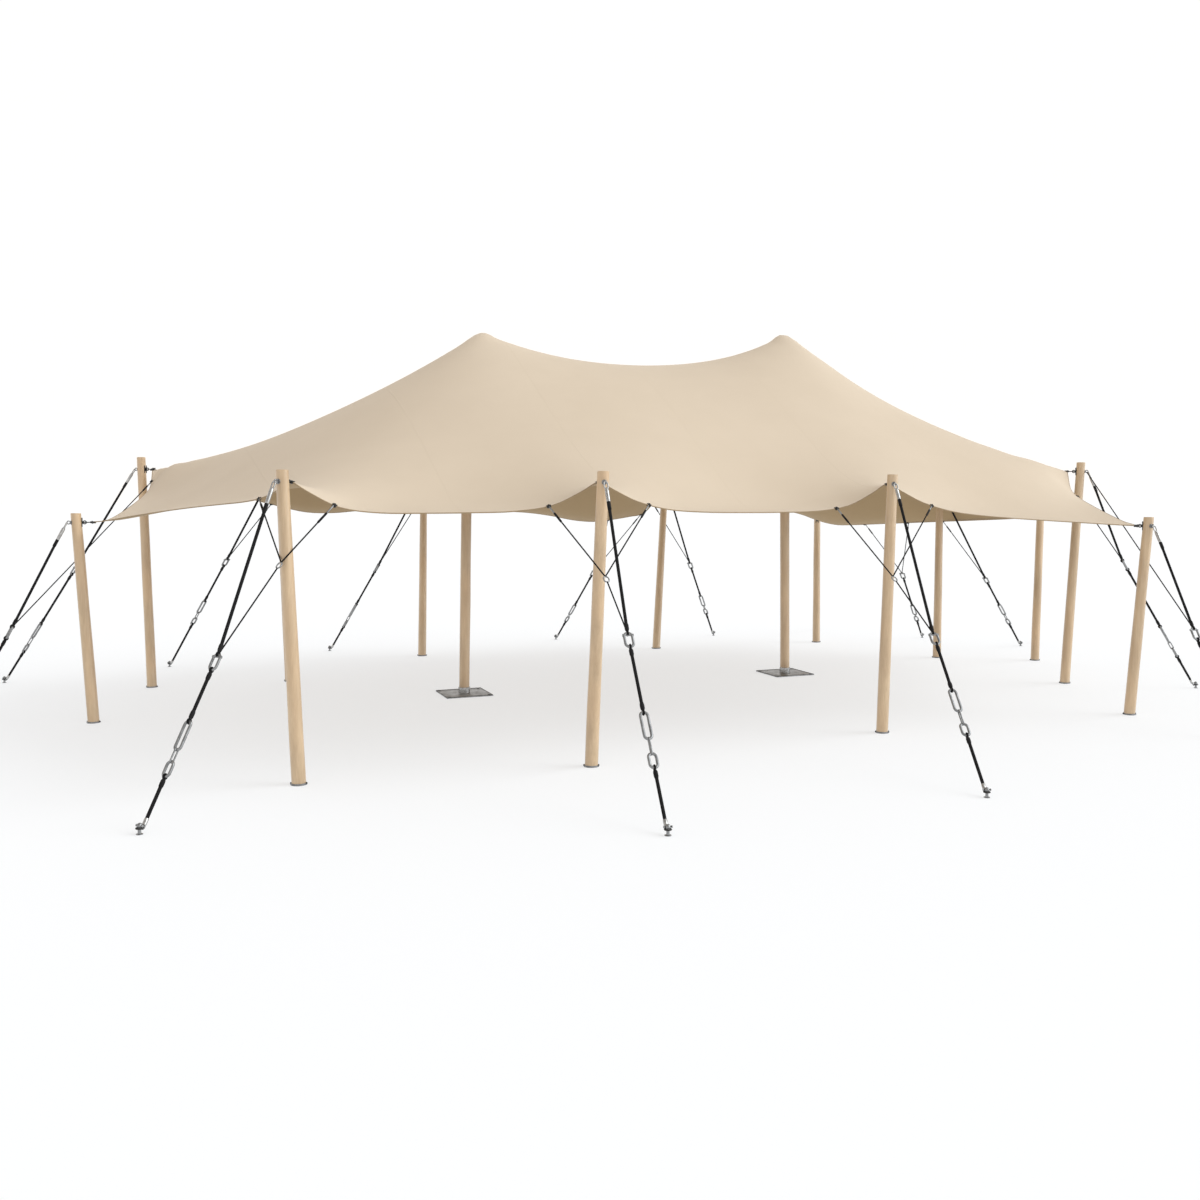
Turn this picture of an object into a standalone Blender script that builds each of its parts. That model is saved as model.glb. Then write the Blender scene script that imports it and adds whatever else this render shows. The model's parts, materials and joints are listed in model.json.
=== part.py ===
"""Stretch tent on two masts and thirteen leaning side poles, guyed to ground stakes.

Metres, +Z up. The ground is z = 0, the ridge between the masts runs along X, and the
origin is the middle of the footprint that the stakes span. The front faces -Y.
"""

from math import cos, pi, radians, sin

import bmesh
import bpy
import numpy as np
from mathutils import Matrix, Vector
from mathutils.bvhtree import BVHTree

# Gap that touching pieces keep.
GAP = 0.0003

# Side poles: foot x, foot y, lean of the top in x and y, height of the top.
SIDE_POLES = {
    "left_low": (-6.61, 0.51, -0.176, -0.045, 2.29),
    "front_left": (-4.86, -3.11, -0.155, -0.133, 2.70),
    "front_middle": (-2.28, -3.40, 0.00, -0.30, 2.70),
    "front_right": (1.10, -3.09, 0.00, -0.185, 2.70),
    "right_low": (4.31, -3.26, 0.12, -0.16, 2.24),
    "right_tall": (5.25, -1.26, 0.16, -0.12, 2.92),
    "right_end": (6.41, 0.59, 0.13, 0.02, 2.30),
    "right_rear": (5.22, 1.37, 0.08, 0.03, 2.62),
    "back_right": (4.51, 3.67, 0.06, 0.06, 2.30),
    "back_mid_right": (1.65, 3.91, 0.24, 0.18, 2.70),
    "back_mid_left": (-2.08, 4.45, 0.07, 0.19, 2.70),
    "back_left": (-4.28, 2.66, -0.13, 0.06, 2.96),
    "left_tall": (-6.00, 2.80, -0.13, 0.08, 2.98),
}
POLE_FOOT_RADIUS = 0.0615
POLE_TOP_RADIUS = 0.0535
SHOE_RADIUS = 0.072
SHOE_THICKNESS = 0.008
POLE_SIDES = 12

# Stakes: where each pole's guy line meets the ground, and two lines that hold the hem alone.
STAKES = {
    "left_low": (-7.94, 0.16),
    "front_left": (-6.13, -4.20),
    "front_middle": (-2.54, -5.64),
    "front_right": (0.35, -5.62),
    "right_low": (4.24, -4.73),
    "right_tall": (6.53, -2.19),
    "right_end": (7.94, 2.30),
    "right_rear": (7.38, 2.00),
    "back_right": (5.51, 5.28),
    "back_mid_right": (3.32, 5.15),
    "back_mid_left": (-3.33, 5.55),
    "back_left": (-5.75, 4.64),
    "left_tall": (-7.82, 3.90),
    "hem_back": (0.53, 5.64),
    "hem_right": (6.57, 3.53),
}
PIN_RADIUS = 0.015
PIN_HEIGHT = 0.085
PIN_BAR_RADIUS = 0.008
PIN_BAR_LENGTH = 0.075
PIN_BAR_HEIGHT = 0.070
PIN_FLANGE_RADIUS = 0.036
PIN_FLANGE_THICKNESS = 0.006
PIN_SIDES = 8

# Masts: foot x, foot y, lean of the top in x and y, height of the canopy over it. The
# canopy's peak can lie a little beside the mast's top.
MASTS = {
    "left": (-2.36, 0.84, 0.05, 0.00, 4.53),
    "right": (2.24, 0.84, 0.00, 0.00, 4.72),
}
PEAK_SHIFT = {"left": 0.16, "right": 0.0}
# Two side poles stand inside the hem and lift the canopy from below, to this height.
INNER_POLES = {"right_rear": 2.62, "back_left": 2.96}
MAST_RADIUS = 0.064
MAST_HEAD_RADIUS = 0.11
MAST_HEAD_HEIGHT = 0.18
MAST_SIDES = 24
BASE_PLATE_SIDE = 0.59
BASE_PLATE_THICKNESS = 0.012
SOCKET_CLEARANCE = 0.003
SOCKET_WALL = 0.006
SOCKET_HEIGHT = 0.075

# Canopy: the solid's thickness, and how far each corner of the hem lies below its pole's
# top and inside it.
CANOPY_THICKNESS = 0.012
EAR_DROP = {
    "left_tall": 0.17,
    "right_tall": 0.12,
    "back_right": 0.23,
    "right_rear": 0.18,
    "back_left": 0.16,
}
USUAL_EAR_DROP = 0.10
EAR_REACH = {"left_low": 0.22, "front_left": 0.14, "left_tall": 0.155}
USUAL_EAR_REACH = 0.17
# Level direction from a pole to its hem corner, in degrees from +X. The others point
# straight away from their stake.
EAR_TURN = {"left_low": 0, "front_left": 55, "right_low": 130}
# Power of the hem's fall beside a pole: 1 is a cusp, 2 is round.
EAR_SHAPE = 1.4
# Share of even spacing along a bay: the rest gathers the mesh towards the poles.
EVEN_SHARE = 0.35

# Each bay of the hem: from pole, to pole, mesh cells, hem height beside each pole, width
# of its rise to each pole, how much lower it is halfway, and how far it curves inwards as
# a share of its length.
FRONT_BAYS = (
    ("left_low", "front_left", 12, 2.19, 2.42, 0.15, 0.50, -0.07, 0.05),
    ("front_left", "front_middle", 9, 2.325, 2.345, 0.29, 0.30, 0.01, 0.05),
    ("front_middle", "front_right", 10, 2.34, 2.325, 0.46, 0.33, 0.02, 0.05),
    ("front_right", "right_low", 9, 2.33, 2.14, 0.50, 0.20, 0.00, 0.04),
)
RIGHT_BAYS = (
    ("right_low", "right_tall", 6, 2.15, 2.58, 0.20, 0.15, 0.00, 0.03),
    ("right_tall", "right_end", 6, 2.25, 2.13, 0.30, 0.20, 0.02, 0.05),
    ("right_end", "back_right", 12, 2.15, 1.965, 0.20, 0.20, 0.00, -0.02),
)
BACK_BAYS = (
    ("left_tall", "back_mid_left", 14, 2.70, 2.29, 0.60, 0.30, 0.15, 0.00),
    ("back_mid_left", "back_mid_right", 14, 2.26, 2.18, 0.30, 0.14, 0.00, 0.05),
    ("back_mid_right", "back_right", 12, 2.29, 2.23, 0.30, 0.35, 0.00, 0.05),
)
LEFT_BAYS = (("left_low", "left_tall", 24, 2.15, 2.62, 0.20, 0.13, 0.00, 0.03),)
# Where lines pull the hem down away from the poles: share of the bay, width, drop.
HEM_PULLS = {
    ("left_tall", "back_mid_left"): (0.52, 0.70, 0.10),
    ("back_mid_left", "back_mid_right"): (0.67, 0.66, 0.14),
}

# Taut lines in the stretched fabric: from pole, to mast, sag as a share of the rise, pull.
TAUT_LINES = (
    ("left_tall", "left", 0.68, 300.0),
    ("left_low", "left", 0.60, 0.3),
    ("front_left", "left", 0.60, 0.5),
    ("front_middle", "left", 0.60, 0.5),
    ("back_mid_left", "left", 0.60, 0.5),
    ("right_tall", "right", 0.50, 150.0),
    ("right_low", "right", 0.60, 0.3),
    ("right_end", "right", 0.60, 0.3),
    ("front_right", "right", 0.60, 0.5),
    ("back_mid_right", "right", 0.60, 0.5),
    ("back_right", "right", 0.60, 0.3),
)
RIDGE_SAG = 0.35
RIDGE_PULL = 4.0
TAUT_LINE_WIDTH = 0.22
TAUT_LINE_PULL = 6.0
# Extra hold beside the two tall corners, where the fabric rises to a point: how far along
# its line it reaches, and how many times the line's own pull it is.
CORNER_REACH = 0.8
CORNER_GAIN = {"left_tall": 60.0, "right_tall": 60.0}
# How strongly the fabric resists a fold, against how strongly it is stretched flat.
FABRIC_STIFFNESS = 0.45
# The masts push a sharper point into it: drop beside the peak, and how near and far it acts.
POINT_DROP = 0.075
POINT_NEAR = 0.22
POINT_FAR = 1.5

# Fittings at a pole's top and on its guy line.
BOLT_RADIUS = 0.010
BOLT_STAND_OFF = 0.004
KNOB_RADIUS = 0.016
ROPE_RADIUS = 0.014
STRAND_RADIUS = 0.0065
SHACKLE_LINK = (0.155, 0.092, 0.0115)
LONG_LINK = (0.255, 0.084, 0.012)
OVAL_LINK = (0.142, 0.086, 0.012)
BRIDLE_RING = (0.075, 0.060, 0.006)
JOINER_RADIUS = 0.010
TIE_STAND_OFF = 0.0215
# Each guy line: how far down it the first, the long and the oval link sit, as shares of its
# length, and how far the hem's strands pull the first link in towards the pole.
GUY_SHAPES = {
    "left_low": (0.535, 0.760, 0.845, 0.00),
    "front_left": (0.560, 0.755, 0.847, 0.09),
    "front_middle": (0.510, 0.733, 0.828, 0.14),
    "front_right": (0.565, 0.736, 0.825, 0.16),
    "right_low": (0.540, 0.760, 0.845, 0.00),
    "right_tall": (0.445, 0.764, 0.849, 0.10),
    "right_rear": (0.560, 0.758, 0.845, 0.02),
    "back_mid_right": (0.515, 0.761, 0.841, 0.03),
    "back_mid_left": (0.495, 0.757, 0.844, 0.02),
    "back_left": (0.460, 0.691, 0.768, 0.00),
    "left_tall": (0.475, 0.765, 0.849, 0.00),
    "hem_back": (0.450, 0.760, 0.845, 0.00),
    "hem_right": (0.450, 0.760, 0.845, 0.00),
}
USUAL_GUY_SHAPE = (0.520, 0.758, 0.845, 0.02)
STAKE_EYE_HEIGHT = 0.045

# Strands that tie the hem to each guy line: the bay they hang from, as two poles, and the
# distance along it from the first one.
TABS = {
    "left_low": (("left_tall", "left_low", 0.14),),
    "front_left": (("front_left", "left_low", 0.75), ("front_left", "front_middle", 0.37)),
    "front_middle": (("front_middle", "front_left", 0.45), ("front_middle", "front_right", 0.60)),
    "front_right": (("front_right", "front_middle", 0.60), ("front_right", "right_low", 0.60)),
    "right_low": (),
    "right_tall": (("right_tall", "right_low", 0.60),),
    "right_end": (),
    "right_rear": (("right_end", "back_right", 1.50),),
    "back_right": (),
    "back_mid_right": (("back_mid_right", "back_mid_left", 0.15),),
    "back_mid_left": (("back_mid_left", "left_tall", 0.25),),
    "back_left": (("left_tall", "back_mid_left", 1.68),),
    "left_tall": (),
}
# One more strand runs from this pole's first link up to another pole's fitting.
TIES = {"right_low": "right_tall"}
# The front poles' strands meet in a ring, placed by a share between the two clamps and a
# share from there to the guy line's first link.
RINGS = {
    "front_left": (0.83, 0.43),
    "front_middle": (0.28, 0.60),
    "front_right": (0.08, 0.59),
}
# The two lines that hold the hem alone: from pole, to pole, shares of the bay's length.
HEM_LINES = {
    "hem_back": ("back_mid_left", "back_mid_right", (0.75, 0.90)),
    "hem_right": ("right_end", "back_right", (0.57, 0.77)),
}

CANVAS = ("canvas", (0.74, 0.62, 0.46), 0.75, 0.0)
PINE = ("pine", (0.68, 0.49, 0.30), 0.55, 0.0)
STEEL = ("galvanised_steel", (0.45, 0.46, 0.47), 0.42, 1.0)
ROPE = ("black_rope", (0.02, 0.02, 0.02), 0.8, 0.0)


def clear_scene():
    for item in list(bpy.data.objects):
        bpy.data.objects.remove(item, do_unlink=True)


def new_collection(name, hidden=False):
    collection = bpy.data.collections.new(name)
    collection.hide_render = hidden
    bpy.context.scene.collection.children.link(collection)
    return collection


def material(name, finish):
    """Each sub-part has its own material, with one of the four finishes."""
    _, colour, roughness, metallic = finish
    made = bpy.data.materials.new(name)
    made.use_nodes = True
    shader = made.node_tree.nodes["Principled BSDF"]
    shader.inputs["Base Color"].default_value = (*colour, 1.0)
    shader.inputs["Roughness"].default_value = roughness
    shader.inputs["Metallic"].default_value = metallic
    return made


def place(mesh, name, collection, finish, smooth_angle=radians(40)):
    """An object with this mesh, in the collection, shaded smooth up to the angle."""
    item = bpy.data.objects.new(name, mesh)
    collection.objects.link(item)
    mesh.materials.clear()
    mesh.materials.append(material(name, finish))
    mesh.shade_smooth()
    mesh.set_sharp_from_angle(angle=smooth_angle)
    return item


def evaluated_mesh(item):
    """A plain mesh of the object with its modifiers applied; the object is removed."""
    graph = bpy.context.evaluated_depsgraph_get()
    mesh = bpy.data.meshes.new_from_object(item.evaluated_get(graph))
    mesh.transform(item.matrix_world)
    bpy.data.objects.remove(item, do_unlink=True)
    return mesh


def welded(mesh):
    shape = bmesh.new()
    shape.from_mesh(mesh)
    bmesh.ops.remove_doubles(shape, verts=shape.verts, dist=0.00002)
    bmesh.ops.recalc_face_normals(shape, faces=shape.faces)
    shape.to_mesh(mesh)
    shape.free()
    return mesh


def turned(profile, sides, collection):
    """A mesh turned about Z from (radius, height) points that run down the outer side."""
    mesh = bpy.data.meshes.new("profile")
    points = [(radius, 0.0, height) for radius, height in profile]
    mesh.from_pydata(points, [(i, i + 1) for i in range(len(points) - 1)], [])
    item = bpy.data.objects.new("profile", mesh)
    collection.objects.link(item)
    screw = item.modifiers.new("turn", "SCREW")
    screw.steps = sides
    screw.render_steps = sides
    screw.use_merge_vertices = True
    screw.merge_threshold = 0.0001
    bpy.context.view_layer.update()
    return welded(evaluated_mesh(item))


def lean(mesh, foot, offset, height):
    """Shears the upright mesh so that its top moves by the offset, then sets it on its foot."""
    shear = Matrix.Identity(4)
    shear[0][2] = offset[0] / height
    shear[1][2] = offset[1] / height
    mesh.transform(Matrix.Translation((foot[0], foot[1], 0.0)) @ shear)
    return mesh


def tube(points, radius, collection, cyclic=False, resolution=1):
    """A welded mesh of a round bar that follows the points, with closed ends."""
    curve = bpy.data.curves.new("bar", "CURVE")
    curve.dimensions = "3D"
    curve.bevel_depth = radius
    curve.bevel_resolution = resolution
    curve.use_fill_caps = True
    curve.twist_mode = "MINIMUM"
    spline = curve.splines.new("POLY")
    spline.points.add(len(points) - 1)
    for target, point in zip(spline.points, points):
        target.co = (*point, 1.0)
    spline.use_cyclic_u = cyclic
    item = bpy.data.objects.new("bar", curve)
    collection.objects.link(item)
    bpy.context.view_layer.update()
    mesh = welded(evaluated_mesh(item))
    bpy.data.curves.remove(curve)
    return mesh


def link_points(centre, along, across, length, width, arc_steps=3):
    """Points round a long link: two half circles joined by straight sides."""
    bend = width / 2
    reach = length / 2 - bend
    points = []
    for end in (1, -1):
        for step in range(arc_steps + 1):
            angle = pi * step / arc_steps
            side = cos(angle) * bend * end
            out = (reach + sin(angle) * bend) * end
            points.append(centre + along * out + across * side)
    return points


def link(centre, along, across, size, collection):
    length, width, bar = size
    points = link_points(centre, along, across, length - 2 * bar, width - 2 * bar)
    return tube(points, bar, collection, cyclic=True, resolution=0)


def knob(centre, towards, radius):
    """A small ball whose tip points towards a neighbour."""
    shape = bmesh.new()
    turn = Vector((0, 0, 1)).rotation_difference(towards).to_matrix().to_4x4()
    bmesh.ops.create_uvsphere(
        shape, u_segments=8, v_segments=4, radius=radius, matrix=Matrix.Translation(centre) @ turn
    )
    mesh = bpy.data.meshes.new("knob")
    shape.to_mesh(mesh)
    shape.free()
    return mesh


def cylinder(radius, bottom, top, sides, turn=0.0):
    """An upright cylinder with a corner in the direction of the turn."""
    shape = bmesh.new()
    move = Matrix.Translation((0, 0, (bottom + top) / 2)) @ Matrix.Rotation(turn, 4, "Z")
    bmesh.ops.create_cone(
        shape, cap_ends=True, segments=sides, radius1=radius, radius2=radius,
        depth=top - bottom, matrix=move,
    )
    mesh = bpy.data.meshes.new("cylinder")
    shape.to_mesh(mesh)
    shape.free()
    return mesh


def box(size, centre):
    shape = bmesh.new()
    scale = Matrix.Diagonal((*size, 1.0))
    bmesh.ops.create_cube(shape, size=1.0, matrix=Matrix.Translation(centre) @ scale)
    mesh = bpy.data.meshes.new("box")
    shape.to_mesh(mesh)
    shape.free()
    return mesh


def joined(meshes, helpers):
    """One closed mesh of overlapping ones, by a Boolean union."""
    items = []
    for mesh in meshes:
        item = bpy.data.objects.new("piece", mesh)
        helpers.objects.link(item)
        items.append(item)
    others = bpy.data.collections.new("others")
    helpers.children.link(others)
    for item in items[1:]:
        helpers.objects.unlink(item)
        others.objects.link(item)
    union = items[0].modifiers.new("join", "BOOLEAN")
    union.operation = "UNION"
    union.operand_type = "COLLECTION"
    union.collection = others
    union.use_self = True
    bpy.context.view_layer.update()
    mesh = evaluated_mesh(items[0])
    for item in items[1:]:
        bpy.data.objects.remove(item, do_unlink=True)
    bpy.data.collections.remove(others)
    return mesh


def bolt_height(name):
    """Height of the through bolt, which is level with the hem's corner."""
    return SIDE_POLES[name][4] - EAR_DROP.get(name, USUAL_EAR_DROP)


def outward(name):
    """Level direction from a pole's top towards its stake."""
    x, y, lean_x, lean_y, _ = SIDE_POLES[name]
    direction = Vector((STAKES[name][0] - x - lean_x, STAKES[name][1] - y - lean_y, 0.0))
    return direction.normalized()


def pole_axis(name, height):
    x, y, lean_x, lean_y, top = SIDE_POLES[name]
    share = height / top
    return Vector((x + lean_x * share, y + lean_y * share, height))


def ear(name):
    """Where the hem's corner hangs beside a pole."""
    inward = -outward(name)
    if name in EAR_TURN:
        turn = radians(EAR_TURN[name])
        inward = Vector((cos(turn), sin(turn), 0.0))
    reach = EAR_REACH.get(name, USUAL_EAR_REACH)
    return pole_axis(name, bolt_height(name)) + inward * reach


def peak(name):
    """The canopy's highest point over a mast."""
    x, y, lean_x, lean_y, height = MASTS[name]
    return np.array((x + lean_x + PEAK_SHIFT[name], y + lean_y, height))


def inner_peak(name):
    x, y, lean_x, lean_y, _ = SIDE_POLES[name]
    return np.array((x + lean_x, y + lean_y, INNER_POLES[name]))


def bay_points(bay, shares):
    """Points of the hem along one bay, at these shares of its length."""
    start_name, end_name, _, start_level, end_level, start_width, end_width, dip, curve_in = bay
    start = np.array(ear(start_name))
    end = np.array(ear(end_name))
    length = np.hypot(*(end - start)[:2])
    along = (end - start)[:2] / length
    inward = np.array((-along[1], along[0]))
    middle = np.mean([peak(name)[:2] for name in MASTS], axis=0)
    if inward @ (middle - (start + end)[:2] / 2) < 0:
        inward = -inward
    shares = np.asarray(shares, float)[:, None]
    bow = 4 * shares * (1 - shares)
    points = start * (1 - shares) + end * shares
    points[:, :2] += inward * curve_in * length * bow
    level = start_level * (1 - shares) + end_level * shares - dip * bow
    from_start = (shares * length / start_width) ** EAR_SHAPE
    from_end = ((1 - shares) * length / end_width) ** EAR_SHAPE
    rise_start = (start[2] - start_level) * np.exp(-from_start)
    rise_end = (end[2] - end_level) * np.exp(-from_end)
    points[:, 2] = (level + rise_start + rise_end)[:, 0]
    if (start_name, end_name) in HEM_PULLS:
        share, width, drop = HEM_PULLS[start_name, end_name]
        points[:, 2] -= drop * np.exp(-(((shares - share) * length / width) ** 2))[:, 0]
    return points


def hem_side(bays):
    """The hem along several bays, with its mesh points gathered towards the poles."""
    side = []
    for number, bay in enumerate(bays):
        even = np.linspace(0, 1, bay[2] + 1)
        shares = EVEN_SHARE * even + (1 - EVEN_SHARE) * (1 - np.cos(pi * even)) / 2
        side.extend(bay_points(bay, shares)[number > 0:])
    return np.array(side)


def relaxed(edges, pulls, fixed, places, resist=0.0, areas=None, guide=None):
    """Heights or plan places of a net in balance, with some of its points held."""
    count = len(areas)
    net = np.zeros((count, count))
    first, second = edges[:, 0], edges[:, 1]
    np.add.at(net, (first, first), pulls)
    np.add.at(net, (second, second), pulls)
    np.add.at(net, (first, second), -pulls)
    np.add.at(net, (second, first), -pulls)
    if resist:
        net = net + resist * (net / areas) @ net
    load = np.zeros((count, places.shape[1]))
    if guide is not None:
        net = net + np.diag(guide[0])
        load[:, 0] = guide[0] * guide[1]
    free = np.setdiff1d(np.arange(count), fixed)
    result = np.zeros((count, places.shape[1]))
    result[fixed] = places
    load = load[free] - net[np.ix_(free, fixed)] @ places
    result[free] = np.linalg.solve(net[np.ix_(free, free)], load)
    return result


def guide_heights(plan, areas):
    """Pull and height at each point from the taut lines between the canopy's high points."""
    lines = []
    for pole, mast, sag, pull in TAUT_LINES:
        start, end = np.array(ear(pole)), peak(mast)
        gain = CORNER_GAIN.get(pole, 0.0)
        lines.append((start, end, sag * (end[2] - start[2]), pull, 2, gain))
    lines.append((peak("left"), peak("right"), 4 * RIDGE_SAG, RIDGE_PULL, 0, 0.0))
    pull_sum = np.full(len(plan), 1e-9)
    height_sum = np.zeros(len(plan))
    for start, end, sag, pull, fade, gain in lines:
        length = np.hypot(*(end - start)[:2])
        along = (end - start)[:2] / length
        offset = plan - start[:2]
        share = np.clip(offset @ along / length, 0, 1)
        distance = np.linalg.norm(offset - np.outer(share * length, along), axis=1)
        height = start[2] + (end[2] - start[2]) * share - sag * share * (1 - share)
        weight = TAUT_LINE_PULL * pull * np.exp(-((distance / TAUT_LINE_WIDTH) ** 2)) * areas
        weight *= (1 - share) ** fade
        weight *= 1 + gain * np.exp(-((share * length / CORNER_REACH) ** 2))
        pull_sum += weight
        height_sum += weight * height
    return pull_sum, height_sum / pull_sum


def canopy_form():
    """Rows and columns of points of the stretched fabric, found as a net in balance."""
    front, back = hem_side(FRONT_BAYS), hem_side(BACK_BAYS)
    left, right = hem_side(LEFT_BAYS), hem_side(RIGHT_BAYS)
    rows, columns = len(left), len(front)
    hem = np.zeros((rows, columns, 3))
    hem[0], hem[-1], hem[:, 0], hem[:, -1] = front, back, left, right
    numbers = np.arange(rows * columns).reshape(rows, columns)
    across = np.stack([numbers[:, :-1].ravel(), numbers[:, 1:].ravel()], 1)
    upward = np.stack([numbers[:-1].ravel(), numbers[1:].ravel()], 1)
    edges = np.concatenate([across, upward])
    border = np.concatenate([numbers[0], numbers[-1], numbers[1:-1, 0], numbers[1:-1, -1]])
    hem_flat = hem.reshape(-1, 3)[border]
    tops = np.array([peak(name) for name in MASTS] + [inner_peak(name) for name in INNER_POLES])
    ones = np.ones(rows * columns)

    plan = relaxed(edges, np.ones(len(edges)), border, hem_flat[:, :2], areas=ones)
    nearest = []
    for top in tops:
        distance = np.linalg.norm(plan - top[:2], axis=1)
        distance[border] = np.inf
        nearest.append(int(np.argmin(distance)))
    fixed = np.concatenate([border, nearest])
    held = np.concatenate([hem_flat, tops])
    plan = relaxed(edges, np.ones(len(edges)), fixed, held[:, :2], areas=ones)

    cells = plan.reshape(rows, columns, 2)
    wide = np.linalg.norm(cells[:, 1:] - cells[:, :-1], axis=2)
    deep = np.linalg.norm(cells[1:] - cells[:-1], axis=2)
    deep_between = (deep[:, :-1] + deep[:, 1:]) / 2
    wide_between = (wide[:-1] + wide[1:]) / 2
    beside = np.zeros_like(wide)
    beside[:-1] += deep_between / 2
    beside[1:] += deep_between / 2
    above = np.zeros_like(deep)
    above[:, :-1] += wide_between / 2
    above[:, 1:] += wide_between / 2
    pulls = np.concatenate([(beside / wide).ravel(), (above / deep).ravel()])
    areas = np.zeros((rows, columns))
    for row in (slice(0, -1), slice(1, None)):
        for column in (slice(0, -1), slice(1, None)):
            areas[row, column] += deep_between * wide_between / 4
    areas = areas.ravel()
    guide = guide_heights(plan, areas)
    heights = relaxed(edges, pulls, fixed, held[:, 2:], FABRIC_STIFFNESS, areas, guide)
    for name in MASTS:
        away = np.linalg.norm(plan - peak(name)[:2], axis=1)
        point = (1 - np.exp(-away / POINT_NEAR)) * np.exp(-((away / POINT_FAR) ** 2))
        heights[:, 0] -= POINT_DROP * point
    return np.concatenate([plan, heights], axis=1).reshape(rows, columns, 3)


def make_canopy(parts):
    form = canopy_form()
    rows, columns = form.shape[:2]
    shape = bmesh.new()
    bmesh.ops.create_grid(shape, x_segments=columns - 1, y_segments=rows - 1, size=1.0)
    for vertex in shape.verts:
        column = round((vertex.co.x + 1) / 2 * (columns - 1))
        row = round((vertex.co.y + 1) / 2 * (rows - 1))
        vertex.co = form[row, column]
    bmesh.ops.recalc_face_normals(shape, faces=shape.faces)
    mesh = bpy.data.meshes.new("canopy")
    shape.to_mesh(mesh)
    shape.free()
    item = place(mesh, "canopy", parts, CANVAS, radians(70))
    thicken = item.modifiers.new("thickness", "SOLIDIFY")
    thicken.thickness = CANOPY_THICKNESS
    thicken.offset = 0.0
    bpy.context.view_layer.update()
    return item


def seat(start, direction, radius, surface, reach=0.6):
    """Slides a ball from the start until it is one gap from the surface; centre and contact."""
    travelled = 0.0
    for _ in range(400):
        contact, _, _, distance = surface.find_nearest(start + direction * travelled)
        clearance = distance - radius - GAP
        if clearance < 0.000002 or travelled > reach:
            break
        travelled += clearance
    if travelled > reach:
        raise ValueError("the ball went past the surface")
    centre = start + direction * travelled
    return centre, (contact - centre).normalized()


def settled(mesh, surface):
    """Slides a head mesh upwards until its nearest point is one gap below the canopy."""
    points = [vertex.co.copy() for vertex in mesh.vertices]
    for polygon in mesh.polygons:
        points.append(polygon.center.copy())
    for edge in mesh.edges:
        points.append((mesh.vertices[edge.vertices[0]].co + mesh.vertices[edge.vertices[1]].co) / 2)
    travelled = 0.0
    for _ in range(60):
        lift = Vector((0, 0, travelled))
        clearance = min(surface.find_nearest(point + lift)[3] for point in points) - GAP
        if clearance < 0.000005:
            break
        travelled += clearance
    return travelled


def domed_log(x, y, lean_x, lean_y, height, top_radius, foot_profile, sides, surface, helpers):
    """An upright log with a round head that reaches up to one gap below the canopy."""
    guess = height - 0.3

    def profile(top):
        points = [(0.0, top)]
        for step in range(1, 7):
            angle = radians(90) * (1 - step / 6)
            points.append((top_radius * cos(angle), top - top_radius * (1 - sin(angle))))
        return points

    head = turned(profile(guess) + [(0.0, guess - top_radius)], sides, helpers)
    head.transform(Matrix.Translation((x + lean_x, y + lean_y, 0)))
    top = guess + settled(head, surface)
    bpy.data.meshes.remove(head)
    log = turned(profile(top) + foot_profile(top), sides, helpers)
    return lean(log, (x, y), (lean_x, lean_y), top - top_radius / 2)


def make_mast(name, surface, parts, helpers):
    x, y, lean_x, lean_y, height = MASTS[name]
    bottom = BASE_PLATE_THICKNESS + GAP

    def foot_profile(top):
        neck = top - MAST_HEAD_HEIGHT
        return [(MAST_HEAD_RADIUS, neck), (MAST_RADIUS, neck), (MAST_RADIUS, bottom), (0.0, bottom)]

    mesh = domed_log(
        x, y, lean_x, lean_y, height, MAST_HEAD_RADIUS, foot_profile, MAST_SIDES, surface, helpers
    )
    place(mesh, f"mast_{name}", parts, PINE)

    plate = box(
        (BASE_PLATE_SIDE, BASE_PLATE_SIDE, BASE_PLATE_THICKNESS), (0, 0, BASE_PLATE_THICKNESS / 2)
    )
    inner = MAST_RADIUS + SOCKET_CLEARANCE
    outer = inner + SOCKET_WALL
    low = BASE_PLATE_THICKNESS / 2
    high = BASE_PLATE_THICKNESS + SOCKET_HEIGHT
    ring = [(inner, high), (outer, high), (outer, low), (inner, low), (inner, high)]
    socket = turned(ring, MAST_SIDES, helpers)
    mesh = joined([plate, socket], helpers)
    mesh.transform(Matrix.Translation((x, y, 0)))
    place(mesh, f"mast_base_{name}", parts, STEEL)


def make_pole(name, surface, parts, helpers):
    """A peeled log with a flat shoe, and the through bolt that holds canopy and guy line."""
    x, y, lean_x, lean_y, height = SIDE_POLES[name]
    shoe = [
        (POLE_FOOT_RADIUS, SHOE_THICKNESS),
        (SHOE_RADIUS, SHOE_THICKNESS),
        (SHOE_RADIUS, 0.0),
        (0.0, 0.0),
    ]
    direction = outward(name)
    axis = pole_axis(name, bolt_height(name))
    eye = guy_top(name) - direction * (KNOB_RADIUS + GAP)
    if name in INNER_POLES:
        height = INNER_POLES[name]
        log = domed_log(
            x, y, lean_x, lean_y, height, POLE_TOP_RADIUS, lambda top: shoe, 24, surface, helpers
        )
        mesh = joined([log, tube([axis, eye], BOLT_RADIUS, helpers)], helpers)
    else:
        log = turned([(0.0, height), (POLE_TOP_RADIUS, height)] + shoe, POLE_SIDES, helpers)
        lean(log, (x, y), (lean_x, lean_y), height)
        inward = (ear(name) - axis).normalized()
        start = axis + inward * (POLE_TOP_RADIUS + KNOB_RADIUS)
        centre, contact = seat(start, inward, KNOB_RADIUS, surface)
        bolt = tube([centre, axis, eye], BOLT_RADIUS, helpers)
        mesh = joined([log, bolt, knob(centre, contact, KNOB_RADIUS)], helpers)
    place(mesh, f"pole_{name}", parts, PINE)


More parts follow.
